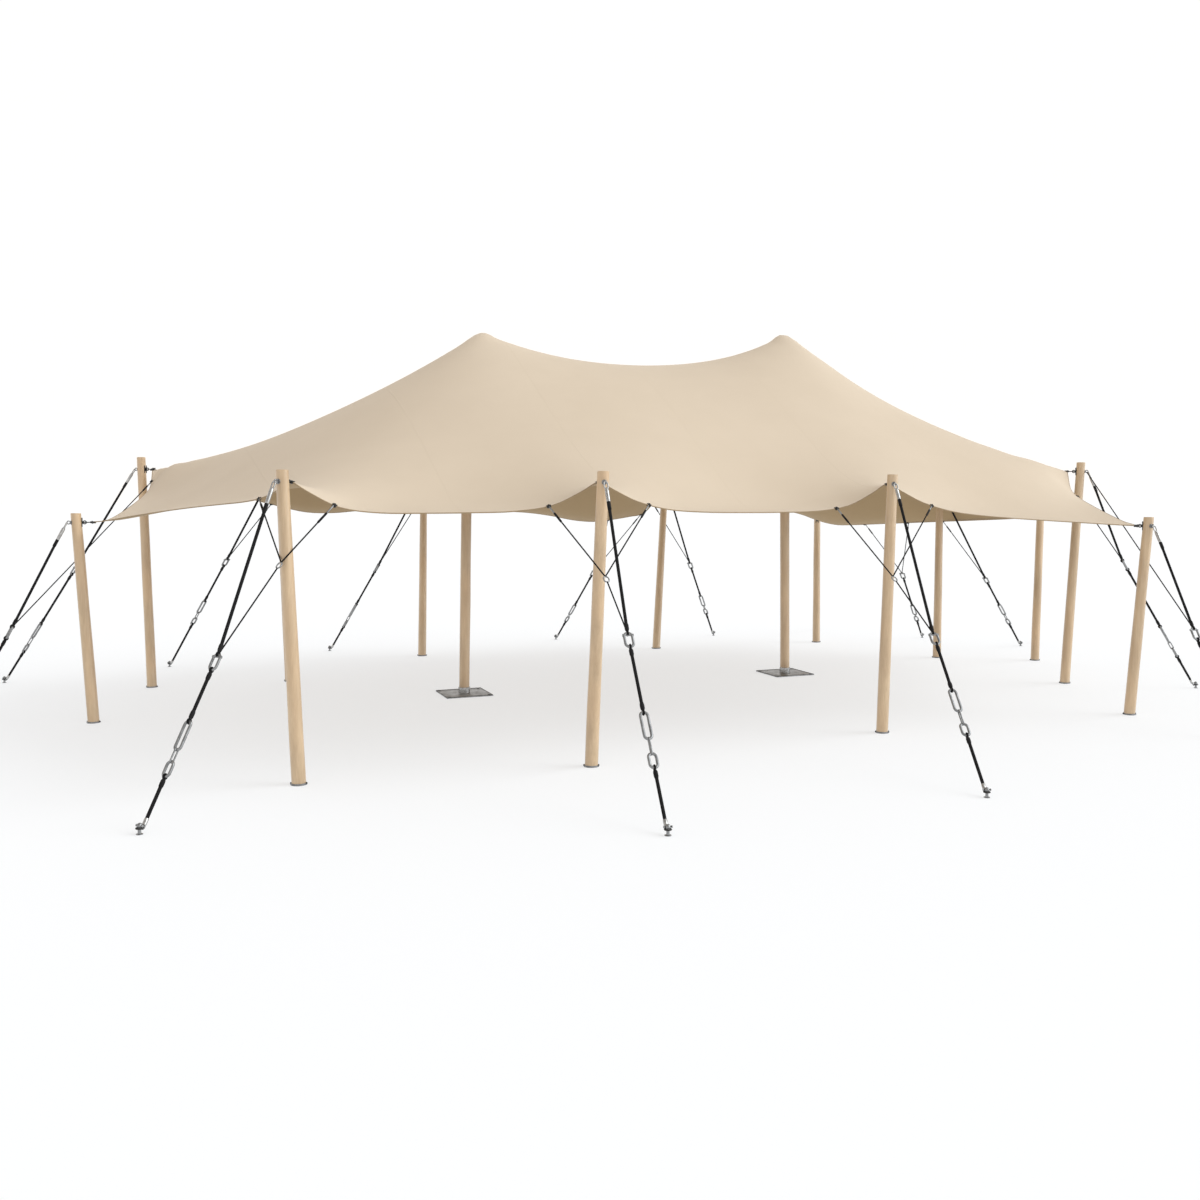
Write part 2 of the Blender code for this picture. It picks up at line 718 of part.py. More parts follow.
def guy_top(name):
    """Centre of the guy line's top knob, clear of the bolt's outer end."""
    reach = POLE_TOP_RADIUS + BOLT_STAND_OFF + KNOB_RADIUS + GAP
    return pole_axis(name, bolt_height(name)) + outward(name) * reach


def all_bays():
    return FRONT_BAYS + RIGHT_BAYS + BACK_BAYS + LEFT_BAYS


def hem_point(first, second, share):
    """A point of the hem, and the level direction out of it, at a share from first to second."""
    for bay in all_bays():
        if {bay[0], bay[1]} == {first, second}:
            share = share if bay[0] == first else 1 - share
            before, here, after = bay_points(bay, (share - 0.005, share, share + 0.005))
            along = Vector((after - before)[:2])
            out = Vector((along.y, -along.x)).normalized().to_3d()
            middle = Vector(np.mean([peak(mast) for mast in MASTS], axis=0))
            if out.dot(middle - Vector(here)) > 0:
                out = -out
            return Vector(here), out
    raise ValueError(f"no bay between {first} and {second}")


def bay_length(first, second):
    return (ear(first) - ear(second)).to_2d().length


class GuyPath:
    """The bent line from a pole's fitting through the first link to the stake."""

    def __init__(self, top, foot, link_share, pull_in):
        level = Vector(((foot - top).x, (foot - top).y, 0)).normalized()
        self.top, self.foot = top, foot
        self.bend = top.lerp(foot, link_share) - level * pull_in
        self.upper = (self.bend - top).length
        self.length = self.upper + (foot - self.bend).length

    def direction(self, share):
        if share * self.length < self.upper - 0.001:
            return (self.bend - self.top).normalized()
        return (self.foot - self.bend).normalized()

    def point(self, share, offset=0.0):
        """A point at a share of the length, moved along the line's direction there."""
        distance = share * self.length - self.upper
        return self.bend + self.direction(share) * (distance + offset)


def make_guy(name, top, tabs, surface, parts, helpers):
    """A guy line down to its stake, with its links, and the strands that hold the hem."""
    shackle_share, long_share, oval_share, pull_in = GUY_SHAPES.get(name, USUAL_GUY_SHAPE)
    stake = Vector((*STAKES[name], STAKE_EYE_HEIGHT))
    away = Vector(((stake - top).x, (stake - top).y, 0)).normalized()
    foot = stake - away * (PIN_RADIUS + GAP + KNOB_RADIUS)
    path = GuyPath(top, foot, shackle_share, pull_in)
    across = path.direction(1).cross(Vector((0, 0, 1))).normalized()
    links = (
        (path.upper / path.length, SHACKLE_LINK),
        (long_share, LONG_LINK),
        (oval_share, OVAL_LINK),
    )
    pieces = []

    def link_end(number, side):
        """Middle of a link's bar: side -1 is towards the pole, 1 towards the stake."""
        share, size = links[number]
        return path.point(share, side * (size[0] / 2 - size[2]))

    seats = []
    for tab, out in tabs:
        centre, contact = seat(tab + out * 0.1, -out, KNOB_RADIUS, surface)
        seats.append(centre)
        pieces.append(knob(centre, contact, KNOB_RADIUS))
    knot = link_end(0, -1)
    ends = [knot] * len(seats)
    if name in RINGS:
        between, towards_knot = RINGS[name]
        ring = seats[0].lerp(seats[1], between).lerp(knot, towards_knot)
        run = (knot - ring).normalized()
        reach = run * (BRIDLE_RING[0] / 2 - BRIDLE_RING[2])
        side = run.cross(Vector((0, 0, 1))).normalized()
        pieces.append(link(ring, run, side, BRIDLE_RING, helpers))
        pieces.append(tube([ring + reach, knot], STRAND_RADIUS, helpers))
        ends = [ring - reach] * 2
    for start, end in zip(seats, ends):
        pieces.append(tube([start, end], STRAND_RADIUS, helpers))
    if name in TIES:
        other = guy_top(TIES[name])
        start = other + (knot - other).normalized() * TIE_STAND_OFF
        pieces.append(tube([start, knot], STRAND_RADIUS, helpers))

    for share, size in links:
        pieces.append(link(path.point(share), path.direction(share), across, size, helpers))
    if name in SIDE_POLES:
        pieces.append(knob(top, -away, KNOB_RADIUS))
        pieces.append(tube([top, knot], ROPE_RADIUS, helpers))
    pieces.append(knob(foot, away, KNOB_RADIUS))
    pieces.append(tube([link_end(0, 1), link_end(1, -1)], ROPE_RADIUS, helpers))
    pieces.append(tube([link_end(1, 1), link_end(2, -1)], JOINER_RADIUS, helpers))
    pieces.append(tube([link_end(2, 1), foot], ROPE_RADIUS, helpers))
    place(joined(pieces, helpers), f"guy_{name}", parts, ROPE)


def make_stake(name, top, parts, helpers):
    """The part of a ground stake above the ground: pin, flange and cross bar."""
    x, y = STAKES[name]
    away = Vector((x - top.x, y - top.y, 0)).normalized()
    turn = Vector((1, 0)).angle_signed(away.to_2d())
    pin = cylinder(PIN_RADIUS, 0.0, PIN_HEIGHT, PIN_SIDES, -turn)
    flange = cylinder(PIN_FLANGE_RADIUS, 0.0, PIN_FLANGE_THICKNESS, 16)
    side = away.cross(Vector((0, 0, 1))) * PIN_BAR_LENGTH / 2
    level = Vector((0, 0, PIN_BAR_HEIGHT))
    bar = tube([level - side, level + side], PIN_BAR_RADIUS, helpers)
    mesh = joined([pin, flange, bar], helpers)
    mesh.transform(Matrix.Translation((x, y, 0)))
    place(mesh, f"stake_{name}", parts, STEEL)


def surface_of(item):
    graph = bpy.context.evaluated_depsgraph_get()
    return BVHTree.FromObject(item, graph)


def main():
    clear_scene()
    parts = new_collection("stretch_tent")
    helpers = new_collection("helpers", hidden=True)
    canopy = make_canopy(parts)
    surface = surface_of(canopy)
    for name in MASTS:
        make_mast(name, surface, parts, helpers)
    for name in SIDE_POLES:
        make_pole(name, surface, parts, helpers)
        tabs = [hem_point(a, b, distance / bay_length(a, b)) for a, b, distance in TABS[name]]
        top = guy_top(name)
        make_guy(name, top, tabs, surface, parts, helpers)
        make_stake(name, top, parts, helpers)
    for name, (first, second, shares) in HEM_LINES.items():
        tabs = [hem_point(first, second, share) for share in shares]
        top = (tabs[0][0] + tabs[1][0]) / 2
        make_guy(name, top, tabs, surface, parts, helpers)
        make_stake(name, top, parts, helpers)
    bpy.data.collections.remove(helpers)


if __name__ == "__main__":
    main()
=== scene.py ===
"""The looks of the stretch tent: sewn fabric, peeled logs, ropes, links and steel fittings.

Metres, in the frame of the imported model: +Z up, the ridge along X, the front facing -Y.
The canopy's form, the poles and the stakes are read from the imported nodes.
"""

from math import cos, pi, radians, sin

import bmesh
import bpy
import numpy as np
from mathutils import Matrix, Vector
from mathutils.bvhtree import BVHTree
from mathutils.kdtree import KDTree
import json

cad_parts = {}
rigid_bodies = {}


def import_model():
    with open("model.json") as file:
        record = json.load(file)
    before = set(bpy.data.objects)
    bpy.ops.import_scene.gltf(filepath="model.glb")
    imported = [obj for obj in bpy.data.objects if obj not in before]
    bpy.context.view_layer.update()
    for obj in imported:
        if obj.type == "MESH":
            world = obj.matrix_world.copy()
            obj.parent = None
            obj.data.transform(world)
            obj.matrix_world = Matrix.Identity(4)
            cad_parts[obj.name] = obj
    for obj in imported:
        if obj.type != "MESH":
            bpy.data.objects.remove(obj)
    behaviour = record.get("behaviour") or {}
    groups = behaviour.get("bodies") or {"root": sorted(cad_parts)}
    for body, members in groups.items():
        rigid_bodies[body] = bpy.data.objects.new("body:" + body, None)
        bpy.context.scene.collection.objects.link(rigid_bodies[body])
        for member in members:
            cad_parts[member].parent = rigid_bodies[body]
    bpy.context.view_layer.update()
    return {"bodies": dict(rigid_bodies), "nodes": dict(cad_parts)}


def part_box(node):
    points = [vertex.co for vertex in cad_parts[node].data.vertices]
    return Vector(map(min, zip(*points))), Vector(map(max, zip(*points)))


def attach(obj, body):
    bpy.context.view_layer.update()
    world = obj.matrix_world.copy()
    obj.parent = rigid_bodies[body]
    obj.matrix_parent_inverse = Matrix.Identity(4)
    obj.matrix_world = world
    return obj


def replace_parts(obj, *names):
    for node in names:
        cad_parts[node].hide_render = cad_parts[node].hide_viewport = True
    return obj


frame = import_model()

UP = Vector((0, 0, 1))
SQUARE = ((-1, -1), (1, -1), (1, 1), (-1, 1))

# Camera, at the photo's height and angle, and where the horizon lies in the picture.
CAMERA_PLACE = (-6.103, -13.373, 2.48)
CAMERA_TURN = -21.4
SENSOR_WIDTH = 36.0
PICTURE_SIDE = 1200
FOCAL_PIXELS = 1165
HORIZON_ROW = 495.7

# Studio: floor, and white walls that get dimmer towards the ceiling, most of all on the left.
FLOOR_ALBEDO = 0.36
FLOOR_GLOW = (0.606, 0.618, 0.632)
FLOOR_REACH = 400.0
FLOOR_GAP = 0.0005
WALL_COLOUR = (1.06, 1.03, 1.0)
CEILING_LEFT = (0.53, 0.5, 0.47)
CEILING_RIGHT = (0.86, 0.83, 0.8)
CEILING_START = 0.4
CEILING_END = 0.56
CEILING_TURN = 0.7
# Two soft lights: strength, softness in degrees, colour, and the direction they come from.
SUNS = {
    "key": (1.25, 40, (0.9, 0.96, 1.0), (0.72, -0.2, 0.66)),
    "side": (1.05, 50, (0.92, 0.97, 1.0), (0.79, -0.6, 0.14)),
}

# Fabric.
WELD_DISTANCE = 0.0001
SHEET_STEPS = 4
SHEET_THICKNESS = 0.003
PANEL_WIDTH = 1.52
KNIT_TURN = radians(12)
KNIT_PERIODS = (0.0026, 0.0034)
HEM_WIDTH = 0.045
HEM_THICKNESS = 0.0056
HEM_TAPER = 0.75
HEM_BEAD_RADIUS = 0.0055
STITCH_LENGTH = 0.006
STITCH_ROWS = (0.01, 0.034)
THREAD_LIGHTNESS = 1.12
PATCH_RADIUS = 0.4
PATCH_RINGS = (0.0, 0.15, 0.35, 0.55, 0.75, 0.9, 1.0)
PATCH_SIDES = 48
PATCH_THICKNESS = 0.002
PATCH_SEARCH_DEPTH = 1.5
# Small moves of the sheet near three corners: how far inside the corner they are centred,
# their reach, and how far they go out to the pole and up.
CORNER_MOVES = {
    "left_tall": (0.11, 0.1, 0.0, 0.045),
    "left_low": (0.0, 0.12, 0.055, 0.0),
    "right_low": (0.0, 0.12, 0.055, 0.0),
}

# Logs. A crown is rings as drop below the top and inset.
LOG_SIDES = 32
LOG_RING_STEP = 0.06
LOG_CHAMFER = 0.004
FLAT_CROWN = ((LOG_CHAMFER, 0.0), (0.0, LOG_CHAMFER))
ROUND_CROWN = ((0.036, 0.0), (0.027, 0.006), (0.018, 0.016), (0.01, 0.03))
LOG_WANDER = 0.0012
LOG_NUMBERS = 40.0
GROWTH_RING = 0.0065
KNOT_COLOUR = (0.27, 0.13, 0.055)
WARM_WOOD = (1.04, 0.94, 0.84)
POLE_FOOT_RADIUS = 0.0615
POLE_TOP_RADIUS = 0.0535
SHOE_RADIUS = 0.072
SHOE_THICKNESS = 0.008
SHOE_COLLAR_HEIGHT = 0.016
LUG_HEIGHT = 0.012
LUG_WAY = Vector((cos(radians(CAMERA_TURN)), sin(radians(CAMERA_TURN)), 0))
MAST_RADIUS = 0.064
MAST_HEAD_RADIUS = 0.11
MAST_HEAD_HEIGHT = 0.18
PLATE_SIDE = 0.59
PLATE_THICKNESS = 0.012
PLATE_BOLT_INSET = 0.045
PLATE_WASHER = (0.017, 0.002, 0.0008)
PLATE_BOLT_HEAD = (0.01, 0.004)
SOCKET_HEIGHT = 0.087
SOCKET_RADIUS = 0.073
WELD_STEPS = 64
# These two stand inside the hem and lift the fabric from below.
INNER_POLES = ("right_rear", "back_left")
INNER_BOLT_DROP = 0.035

# Fittings on a pole's through bolt. Its washers and plates lie on the bolt's seat.
BOLT_SEAT = POLE_TOP_RADIUS + 0.001
BOLT_RADIUS = 0.008
WASHER_RADIUS = 0.024
WASHER_THICKNESS = 0.003
WASHER_SUNK = 0.002
NUT_RADIUS = 0.0155
NUT_THICKNESS = 0.004
EYE_RADIUS = 0.0165
EYE_BAR = 0.006
EYE_STAND_OFF = 0.026
POLE_STRIP = (0.008, 0.008, 0.1)
STRIP_OFFSET = 0.021
BRACKET_OVERLAP = 0.03
BRACKET_WIDTH = 0.034
BRACKET_BAR = 0.0055
CLAMP_PLATE = (0.056, 0.05, 0.008)
CLAMP_GAP = 0.0012
CLAMP_BOLT_RADIUS = 0.007
CLAMP_BOLT_HALF = 0.017
CLAMP_BOLT_BACK = 0.008
CLAMP_BOLT_SHIFT = 0.013

# Guy lines: rope, strands, links as length, width and bar radius, and their fittings.
ROPE_RADIUS = 0.014
STRAND_RADIUS = 0.0065
BRAID_PITCH = 0.034
BRAID_STRANDS = 8.0
SHACKLE_LINK = (0.155, 0.092, 0.0115)
LONG_LINK = (0.255, 0.084, 0.012)
OVAL_LINK = (0.142, 0.086, 0.012)
BRIDLE_RING = (0.075, 0.06, 0.006)
THIMBLE = (0.085, 0.046, 0.0065)
HOOK = (0.05, 0.04, 0.0065)
ROPE_EYE = (0.052, 0.0075)
PIN_REACH = 0.036
PIN_RADIUS = 0.0075
PIN_INSIDE = 0.02
PIN_HEAD = (0.013, 0.011)
KNOT_INSIDE = 0.004
ROD_OVERLAP = 0.03
ROD_WIDTH = 0.046
ROD_BAR = 0.0072
GUY_TOP_REACH = 0.074
TIE_STAND_OFF = 0.022
SWAGE_LENGTH = 0.15
SWAGE_SLEEVE = (0.0175, 0.08, 0.003)
SLEEVE_LENGTH = 0.075
FERRULE_LENGTH = 0.055
STRAP_LENGTH = 0.095
TAB_SLEEVE_LENGTH = 0.12
TAB_CLAMP = (0.036, 0.04, 0.024)
TAB_CLAMP_INSIDE = 0.006
TAB_BOLT_HALF = 0.019
TAB_BOLT_RADIUS = 0.0055
# Profiles of turned shapes, as radius and distance from the shape's start.
SWAGE_PROFILE = (
    (0.009, -0.01), (0.017, 0.004), (0.019, 0.03),
    (0.018, SWAGE_LENGTH - 0.03), (0.016, SWAGE_LENGTH - 0.004), (0.014, SWAGE_LENGTH),
)
SLEEVE_PROFILE = (
    (0.009, 0.0), (0.016, 0.012), (0.0185, 0.022),
    (0.0185, SLEEVE_LENGTH * 0.75), (ROPE_RADIUS, SLEEVE_LENGTH),
)
FERRULE_PROFILE = ((0.0145, 0.0), (0.0175, 0.004), (0.0175, FERRULE_LENGTH - 0.006), (0.01, FERRULE_LENGTH))
STRAP_PROFILE = ((0.0045, 0.0), (0.0075, 0.006), (0.0075, STRAP_LENGTH - 0.02), (0.006, STRAP_LENGTH))

# Stakes: flange as radius, thickness and edge, pin, ball head, cross bar and eye.
STAKE_FLANGE = (0.026, 0.005, 0.002)
STAKE_PIN_PROFILE = ((0.0125, 0.0), (0.0125, 0.048), (0.0155, 0.051))
BALL_RADIUS = 0.021
BALL_HEIGHT = 0.064
CROSS_BAR_REACH = 0.03
CROSS_BAR_RADIUS = 0.0065
CROSS_BAR_END = (0.0095, 0.009, 0.003)
STAKE_EYE_HEIGHT = 0.045
STAKE_EYE_WIDTH = 0.05
STAKE_REACH = 0.032

# Each guy line: how far down it the first, the long and the oval link sit, as shares of its
# length, and how far the hem's strands pull the first link in towards the pole.
GUY_SHAPES = {
    "left_low": (0.535, 0.76, 0.845, 0.00),
    "front_left": (0.56, 0.755, 0.847, 0.09),
    "front_middle": (0.51, 0.733, 0.828, 0.14),
    "front_right": (0.565, 0.736, 0.825, 0.16),
    "right_low": (0.54, 0.76, 0.845, 0.00),
    "right_tall": (0.445, 0.764, 0.849, 0.1),
    "right_rear": (0.56, 0.758, 0.845, 0.02),
    "back_mid_right": (0.515, 0.761, 0.841, 0.03),
    "back_mid_left": (0.495, 0.757, 0.844, 0.02),
    "back_left": (0.46, 0.691, 0.768, 0.00),
    "left_tall": (0.475, 0.765, 0.849, 0.00),
    "hem_back": (0.45, 0.76, 0.845, 0.00),
    "hem_right": (0.45, 0.76, 0.845, 0.00),
}
USUAL_GUY_SHAPE = (0.52, 0.758, 0.845, 0.02)

# Strands that tie the hem to a guy line: the bay they hang from, as two poles, and the
# distance along it from the first one.
TABS = {
    "left_low": (("left_tall", "left_low", 0.14),),
    "front_left": (("front_left", "left_low", 0.75), ("front_left", "front_middle", 0.37)),
    "front_middle": (("front_middle", "front_left", 0.45), ("front_middle", "front_right", 0.6)),
    "front_right": (("front_right", "front_middle", 0.6), ("front_right", "right_low", 0.6)),
    "right_tall": (("right_tall", "right_low", 0.6),),
    "right_rear": (("right_end", "back_right", 1.5),),
    "back_mid_right": (("back_mid_right", "back_mid_left", 0.15),),
    "back_mid_left": (("back_mid_left", "left_tall", 0.25),),
    "back_left": (("left_tall", "back_mid_left", 1.68),),
}
# One more strand runs from this pole's first link up to another pole's fitting.
TIES = {"right_low": "right_tall"}
# The front poles' strands meet in a ring, placed by a share between the two clamps and a
# share from there to the guy line's first link.
RINGS = {
    "front_left": (0.83, 0.43),
    "front_middle": (0.28, 0.6),
    "front_right": (0.08, 0.59),
}
# The two lines that hold the hem alone: from pole, to pole, shares of the bay's length.
HEM_LINES = {
    "hem_back": ("back_mid_left", "back_mid_right", (0.75, 0.9)),
    "hem_right": ("right_end", "back_right", (0.57, 0.77)),
}


class Nodes:
    """Adds nodes to one tree and joins them."""

    def __init__(self, tree):
        self.tree = tree

    def put(self, socket, value):
        """Joins another node's output to the socket, or sets the socket's own value."""
        if isinstance(value, bpy.types.NodeSocket):
            self.tree.links.new(value, socket)
        elif socket.type == "RGBA":
            socket.default_value = (*value, 1.0)
        else:
            socket.default_value = value

    def add(self, kind, sockets, out=0, **settings):
        """Adds a node and returns one of its outputs."""
        node = self.tree.nodes.new("ShaderNode" + kind)
        for name, value in settings.items():
            setattr(node, name, value)
        for socket, value in sockets.items():
            self.put(node.inputs[socket], value)
        return node.outputs[out]

    def coordinates(self, kind="Object", scale=(1, 1, 1), turn=0.0):
        """Texture coordinates, turned about Z and scaled."""
        sockets = {"Vector": self.add("TexCoord", {}, kind), "Scale": scale, "Rotation": (0, 0, turn)}
        return self.add("Mapping", sockets)

    def part(self, axis, vector):
        return self.add("SeparateXYZ", {"Vector": vector}, axis)

    def noise(self, vector, scale, detail=3.0, rough=0.5, seed=None):
        sockets = {"Vector": vector, "Scale": scale, "Detail": detail, "Roughness": rough}
        if seed is None:
            return self.add("TexNoise", sockets)
        return self.add("TexNoise", {**sockets, "W": seed}, noise_dimensions="4D")

    def maths(self, operation, first, second=0.0):
        return self.add("Math", {0: first, 1: second}, operation=operation)

    def times(self, first, second):
        return self.maths("MULTIPLY", first, second)

    def plus(self, first, second):
        return self.maths("ADD", first, second)

    def between(self, value, low, high, out_low=0.0, out_high=1.0):
        limits = {"From Min": low, "From Max": high, "To Min": out_low, "To Max": out_high}
        return self.add("MapRange", {"Value": value, **limits})

    def blend(self, share, first, second):
        return self.add("Mix", {0: share, 6: first, 7: second}, 2, data_type="RGBA")

    def waves(self, vector, period, direction):
        """Parallel sine ridges, one every period."""
        sockets = {"Vector": vector, "Scale": 2 * pi / (20 * period), "Distortion": 0.0}
        return self.add("TexWave", sockets, "Fac", bands_direction=direction)

    def bump(self, height, strength, distance, under=None):
        sockets = {"Height": height, "Strength": strength, "Distance": distance}
        if under is not None:
            sockets["Normal"] = under
        return self.add("Bump", sockets)


class Surface(Nodes):
    """One material with its nodes."""

    def __init__(self, name):
        self.material = bpy.data.materials.new(name)
        self.material.use_nodes = True
        super().__init__(self.material.node_tree)

    def finish(self, **inputs):
        """Gives the shader its inputs, such as coat_weight for the one named Coat Weight."""
        shader = self.tree.nodes["Principled BSDF"]
        for name, value in inputs.items():
            self.put(shader.inputs[name.replace("_", " ").title().replace("Ior", "IOR")], value)
        return self.material


def fabric(name, colour, shade):
    """Two-way stretch knit in sewn panels: fine ribs, soft mottling and very shallow waves."""
    nodes = Surface(name)
    place = nodes.coordinates()
    mottle = nodes.noise(place, 0.55, 4.0, 0.6)
    tone = nodes.blend(nodes.between(mottle, 0.35, 0.65), colour, shade)
    fine = nodes.noise(place, 140.0, 2.0)
    tone = nodes.blend(nodes.between(fine, 0.3, 0.7, 0.0, 0.1), tone, shade)
    threads = nodes.coordinates(turn=KNIT_TURN)
    ribs, courses = (nodes.waves(threads, period, axis) for period, axis in zip(KNIT_PERIODS, "XY"))
    across = nodes.plus(nodes.part("X", place), PANEL_WIDTH / 4)
    panel = nodes.maths("PINGPONG", across, PANEL_WIDTH / 2)
    seam = nodes.between(panel, 0.007, 0.01, 1.0, 0.0)
    tone = nodes.blend(nodes.times(seam, 0.5), tone, shade)
    waves = nodes.bump(nodes.noise(place, 1.6, 2.0, 0.45), 0.3, 0.015)
    waves = nodes.bump(seam, 0.6, 0.0012, waves)
    return nodes.finish(
        base_color=tone, normal=nodes.bump(nodes.times(ribs, courses), 0.22, 0.0005, waves),
        roughness=0.82, sheen_weight=0.06, sheen_roughness=0.5, specular_ior_level=0.25,
    )


def hem_tape(name, colour, shade):
    """The folded hem: two rows of stitches along it. Its UV is metres along and across."""
    nodes = Surface(name)
    place = nodes.coordinates("UV")
    stitch = nodes.maths("SINE", nodes.times(nodes.part("X", place), 2 * pi / STITCH_LENGTH))
    rows = []
    for offset in STITCH_ROWS:
        distance = nodes.maths("ABSOLUTE", nodes.maths("SUBTRACT", nodes.part("Y", place), offset))
        rows.append(nodes.between(distance, 0.0008, 0.0016, 1.0, 0.0))
    thread = nodes.times(nodes.maths("MAXIMUM", *rows), nodes.between(stitch, -0.35, 0.15))
    mottle = nodes.between(nodes.noise(nodes.coordinates(), 3.0), 0.3, 0.7)
    pale = tuple(value * THREAD_LIGHTNESS for value in colour)
    return nodes.finish(
        base_color=nodes.blend(thread, nodes.blend(mottle, colour, shade), pale), roughness=0.8,
        normal=nodes.bump(nodes.plus(thread, nodes.times(mottle, 0.2)), 0.5, 0.0008),
    )


def wood(name, light, dark, end_grain=False):
    """Peeled and oiled pine: long fibres, and a few small knots or the rings of a sawn end."""
    nodes = Surface(name)
    number = nodes.times(nodes.add("ObjectInfo", {}, "Random"), LOG_NUMBERS)
    broad = nodes.noise(nodes.coordinates(scale=(1, 1, 0.16)), 14.0, 3.0, 0.55, number)
    fibres = nodes.noise(nodes.coordinates(scale=(1, 1, 0.022)), 190.0, 3.0, 0.6, number)
    patches = nodes.noise(nodes.coordinates(scale=(1, 1, 0.6)), 2.4, 2.0, 0.5, number)
    colour = nodes.blend(nodes.between(broad, 0.32, 0.68, 0.0, 0.62), light, dark)
    colour = nodes.blend(nodes.between(fibres, 0.42, 0.66, 0.0, 0.35), colour, dark)
    warm = tuple(value * scale for value, scale in zip(light, WARM_WOOD))
    colour = nodes.blend(nodes.between(patches, 0.45, 0.7, 0.0, 0.5), colour, warm)
    if end_grain:
        place = nodes.coordinates(scale=(1, 1, 0))
        radius = nodes.add("VectorMath", {0: place}, "Value", operation="LENGTH")
        radius = nodes.plus(radius, nodes.times(broad, 0.006))
        rings = nodes.maths("SINE", nodes.times(radius, 2 * pi / GROWTH_RING))
        colour = nodes.blend(nodes.between(rings, -0.2, 1.0, 0.0, 0.55), colour, dark)
    else:
        place = nodes.coordinates(scale=(4.5, 4.5, 1.5))
        sockets = {"Vector": place, "Scale": 1.35, "W": number, "Randomness": 1.0}
        cells = nodes.add("TexVoronoi", sockets, "Distance", voronoi_dimensions="4D")
        knots = nodes.between(cells, 0.035, 0.075, 0.75, 0.0)
        colour = nodes.blend(knots, colour, KNOT_COLOUR)
    height = nodes.plus(nodes.times(fibres, 0.6), broad)
    return nodes.finish(
        base_color=colour, normal=nodes.bump(height, 0.35, 0.0012),
        roughness=nodes.between(fibres, 0.3, 0.7, 0.42, 0.62),
        coat_weight=1.0, coat_ior=1.75, coat_roughness=0.38,
    )


def steel(name, light, dark, roughness=(0.28, 0.5), metallic=1.0):
    """Zinc or oxide coat: cloudy crystals, small scuffs and a slightly uneven skin."""
    nodes = Surface(name)
    place = nodes.coordinates()
    crystals = nodes.add("TexVoronoi", {"Vector": place, "Scale": 55.0}, "Color")
    crystals = nodes.add("SeparateColor", {"Color": crystals})
    cloud = nodes.noise(place, 9.0, 4.0, 0.6)
    scuffs = nodes.noise(nodes.coordinates(scale=(1, 1, 0.2)), 160.0, 3.0, 0.7)
    mixed = nodes.plus(nodes.times(crystals, 0.45), nodes.times(cloud, 0.75))
    height = nodes.plus(scuffs, nodes.times(crystals, 0.35))
    return nodes.finish(
        base_color=nodes.blend(nodes.between(mixed, 0.25, 0.9), light, dark), metallic=metallic,
        roughness=nodes.between(nodes.plus(scuffs, cloud), 0.75, 1.25, *roughness),
        normal=nodes.bump(height, 0.18, 0.0006),
    )


def braid(name, colour, shine):
    """Braided sheath: two sets of strands that cross, with painted shade in the grooves and a painted sheen
    on the crests. Its UV is turns around and metres along.
    """
    nodes = Surface(name)
    place = nodes.coordinates("UV")
    along = nodes.times(nodes.part("Y", place), 1.0 / BRAID_PITCH)
    turns = nodes.times(nodes.part("X", place), BRAID_STRANDS)
    crossings = []
    for way in (2.0, -2.0):
        phase = nodes.plus(nodes.times(along, way), turns)
        crossings.append(nodes.maths("SINE", nodes.times(phase, 2 * pi)))
    weave = nodes.maths("MAXIMUM", *crossings)
    fuzz = nodes.noise(nodes.coordinates(), 320.0, 2.0)
    # The weave's height sets the colour: grooves painted darker and crests painted lighter, as painted
    # shade and sheen.
    tone = nodes.plus(nodes.between(weave, -0.4, 1.0, 0.0, 0.6), nodes.times(fuzz, 0.3))
    return nodes.finish(
        base_color=nodes.blend(tone, colour, shine), normal=nodes.bump(weave, 0.7, 0.0014),
        roughness=0.62, specular_ior_level=0.06,
    )


def rubber(name, colour, shine):
    """Shrunk sleeve and cap: matt black with shallow marks."""
    nodes = Surface(name)
    place = nodes.coordinates()
    marks = nodes.noise(place, 60.0, 3.0, 0.6)
    cloud = nodes.between(nodes.noise(place, 9.0, 2.0), 0.3, 0.7)
    return nodes.finish(
        base_color=nodes.blend(cloud, colour, shine), normal=nodes.bump(marks, 0.2, 0.0006),
        roughness=nodes.between(marks, 0.3, 0.7, 0.4, 0.62), specular_ior_level=0.1,
    )


FINISHES = {
    "fabric_top": fabric("canvas_sand", (0.652, 0.549, 0.427), (0.624, 0.523, 0.403)),
    # The taupe under finishes are the fabric's underside and hem with painted shade, darker than the sand
    # on top.
    "fabric_under": fabric("canvas_taupe", (0.4, 0.29, 0.163), (0.37, 0.266, 0.147)),
    "hem_top": hem_tape("hem_sand", (0.65, 0.552, 0.435), (0.63, 0.53, 0.412)),
    "hem_under": hem_tape("hem_taupe", (0.33, 0.24, 0.14), (0.3, 0.216, 0.126)),
    "pine": wood("pine_log", (0.605, 0.438, 0.255), (0.345, 0.219, 0.106)),
    "pine_end": wood("pine_end_grain", (0.565, 0.413, 0.24), (0.372, 0.24, 0.12), end_grain=True),
    "steel": steel("galvanised_steel", (0.36, 0.365, 0.37), (0.2, 0.205, 0.21)),
    "bright_steel": steel("bright_steel", (0.56, 0.56, 0.55), (0.34, 0.34, 0.34), (0.2, 0.36)),
    "dark_steel": steel(
        "dark_oxide_steel", (0.06, 0.059, 0.058), (0.026, 0.025, 0.024), (0.35, 0.55), 0.85,
    ),
    "rope": braid("black_braid", (0.005, 0.005, 0.0055), (0.022, 0.022, 0.023)),
    "rubber": rubber("black_sleeve", (0.008, 0.008, 0.0085), (0.018, 0.018, 0.019)),
}


def placed(name, data):
    """A new object in the scene."""
    item = bpy.data.objects.new(name, data)
    bpy.context.scene.collection.objects.link(item)
    return item


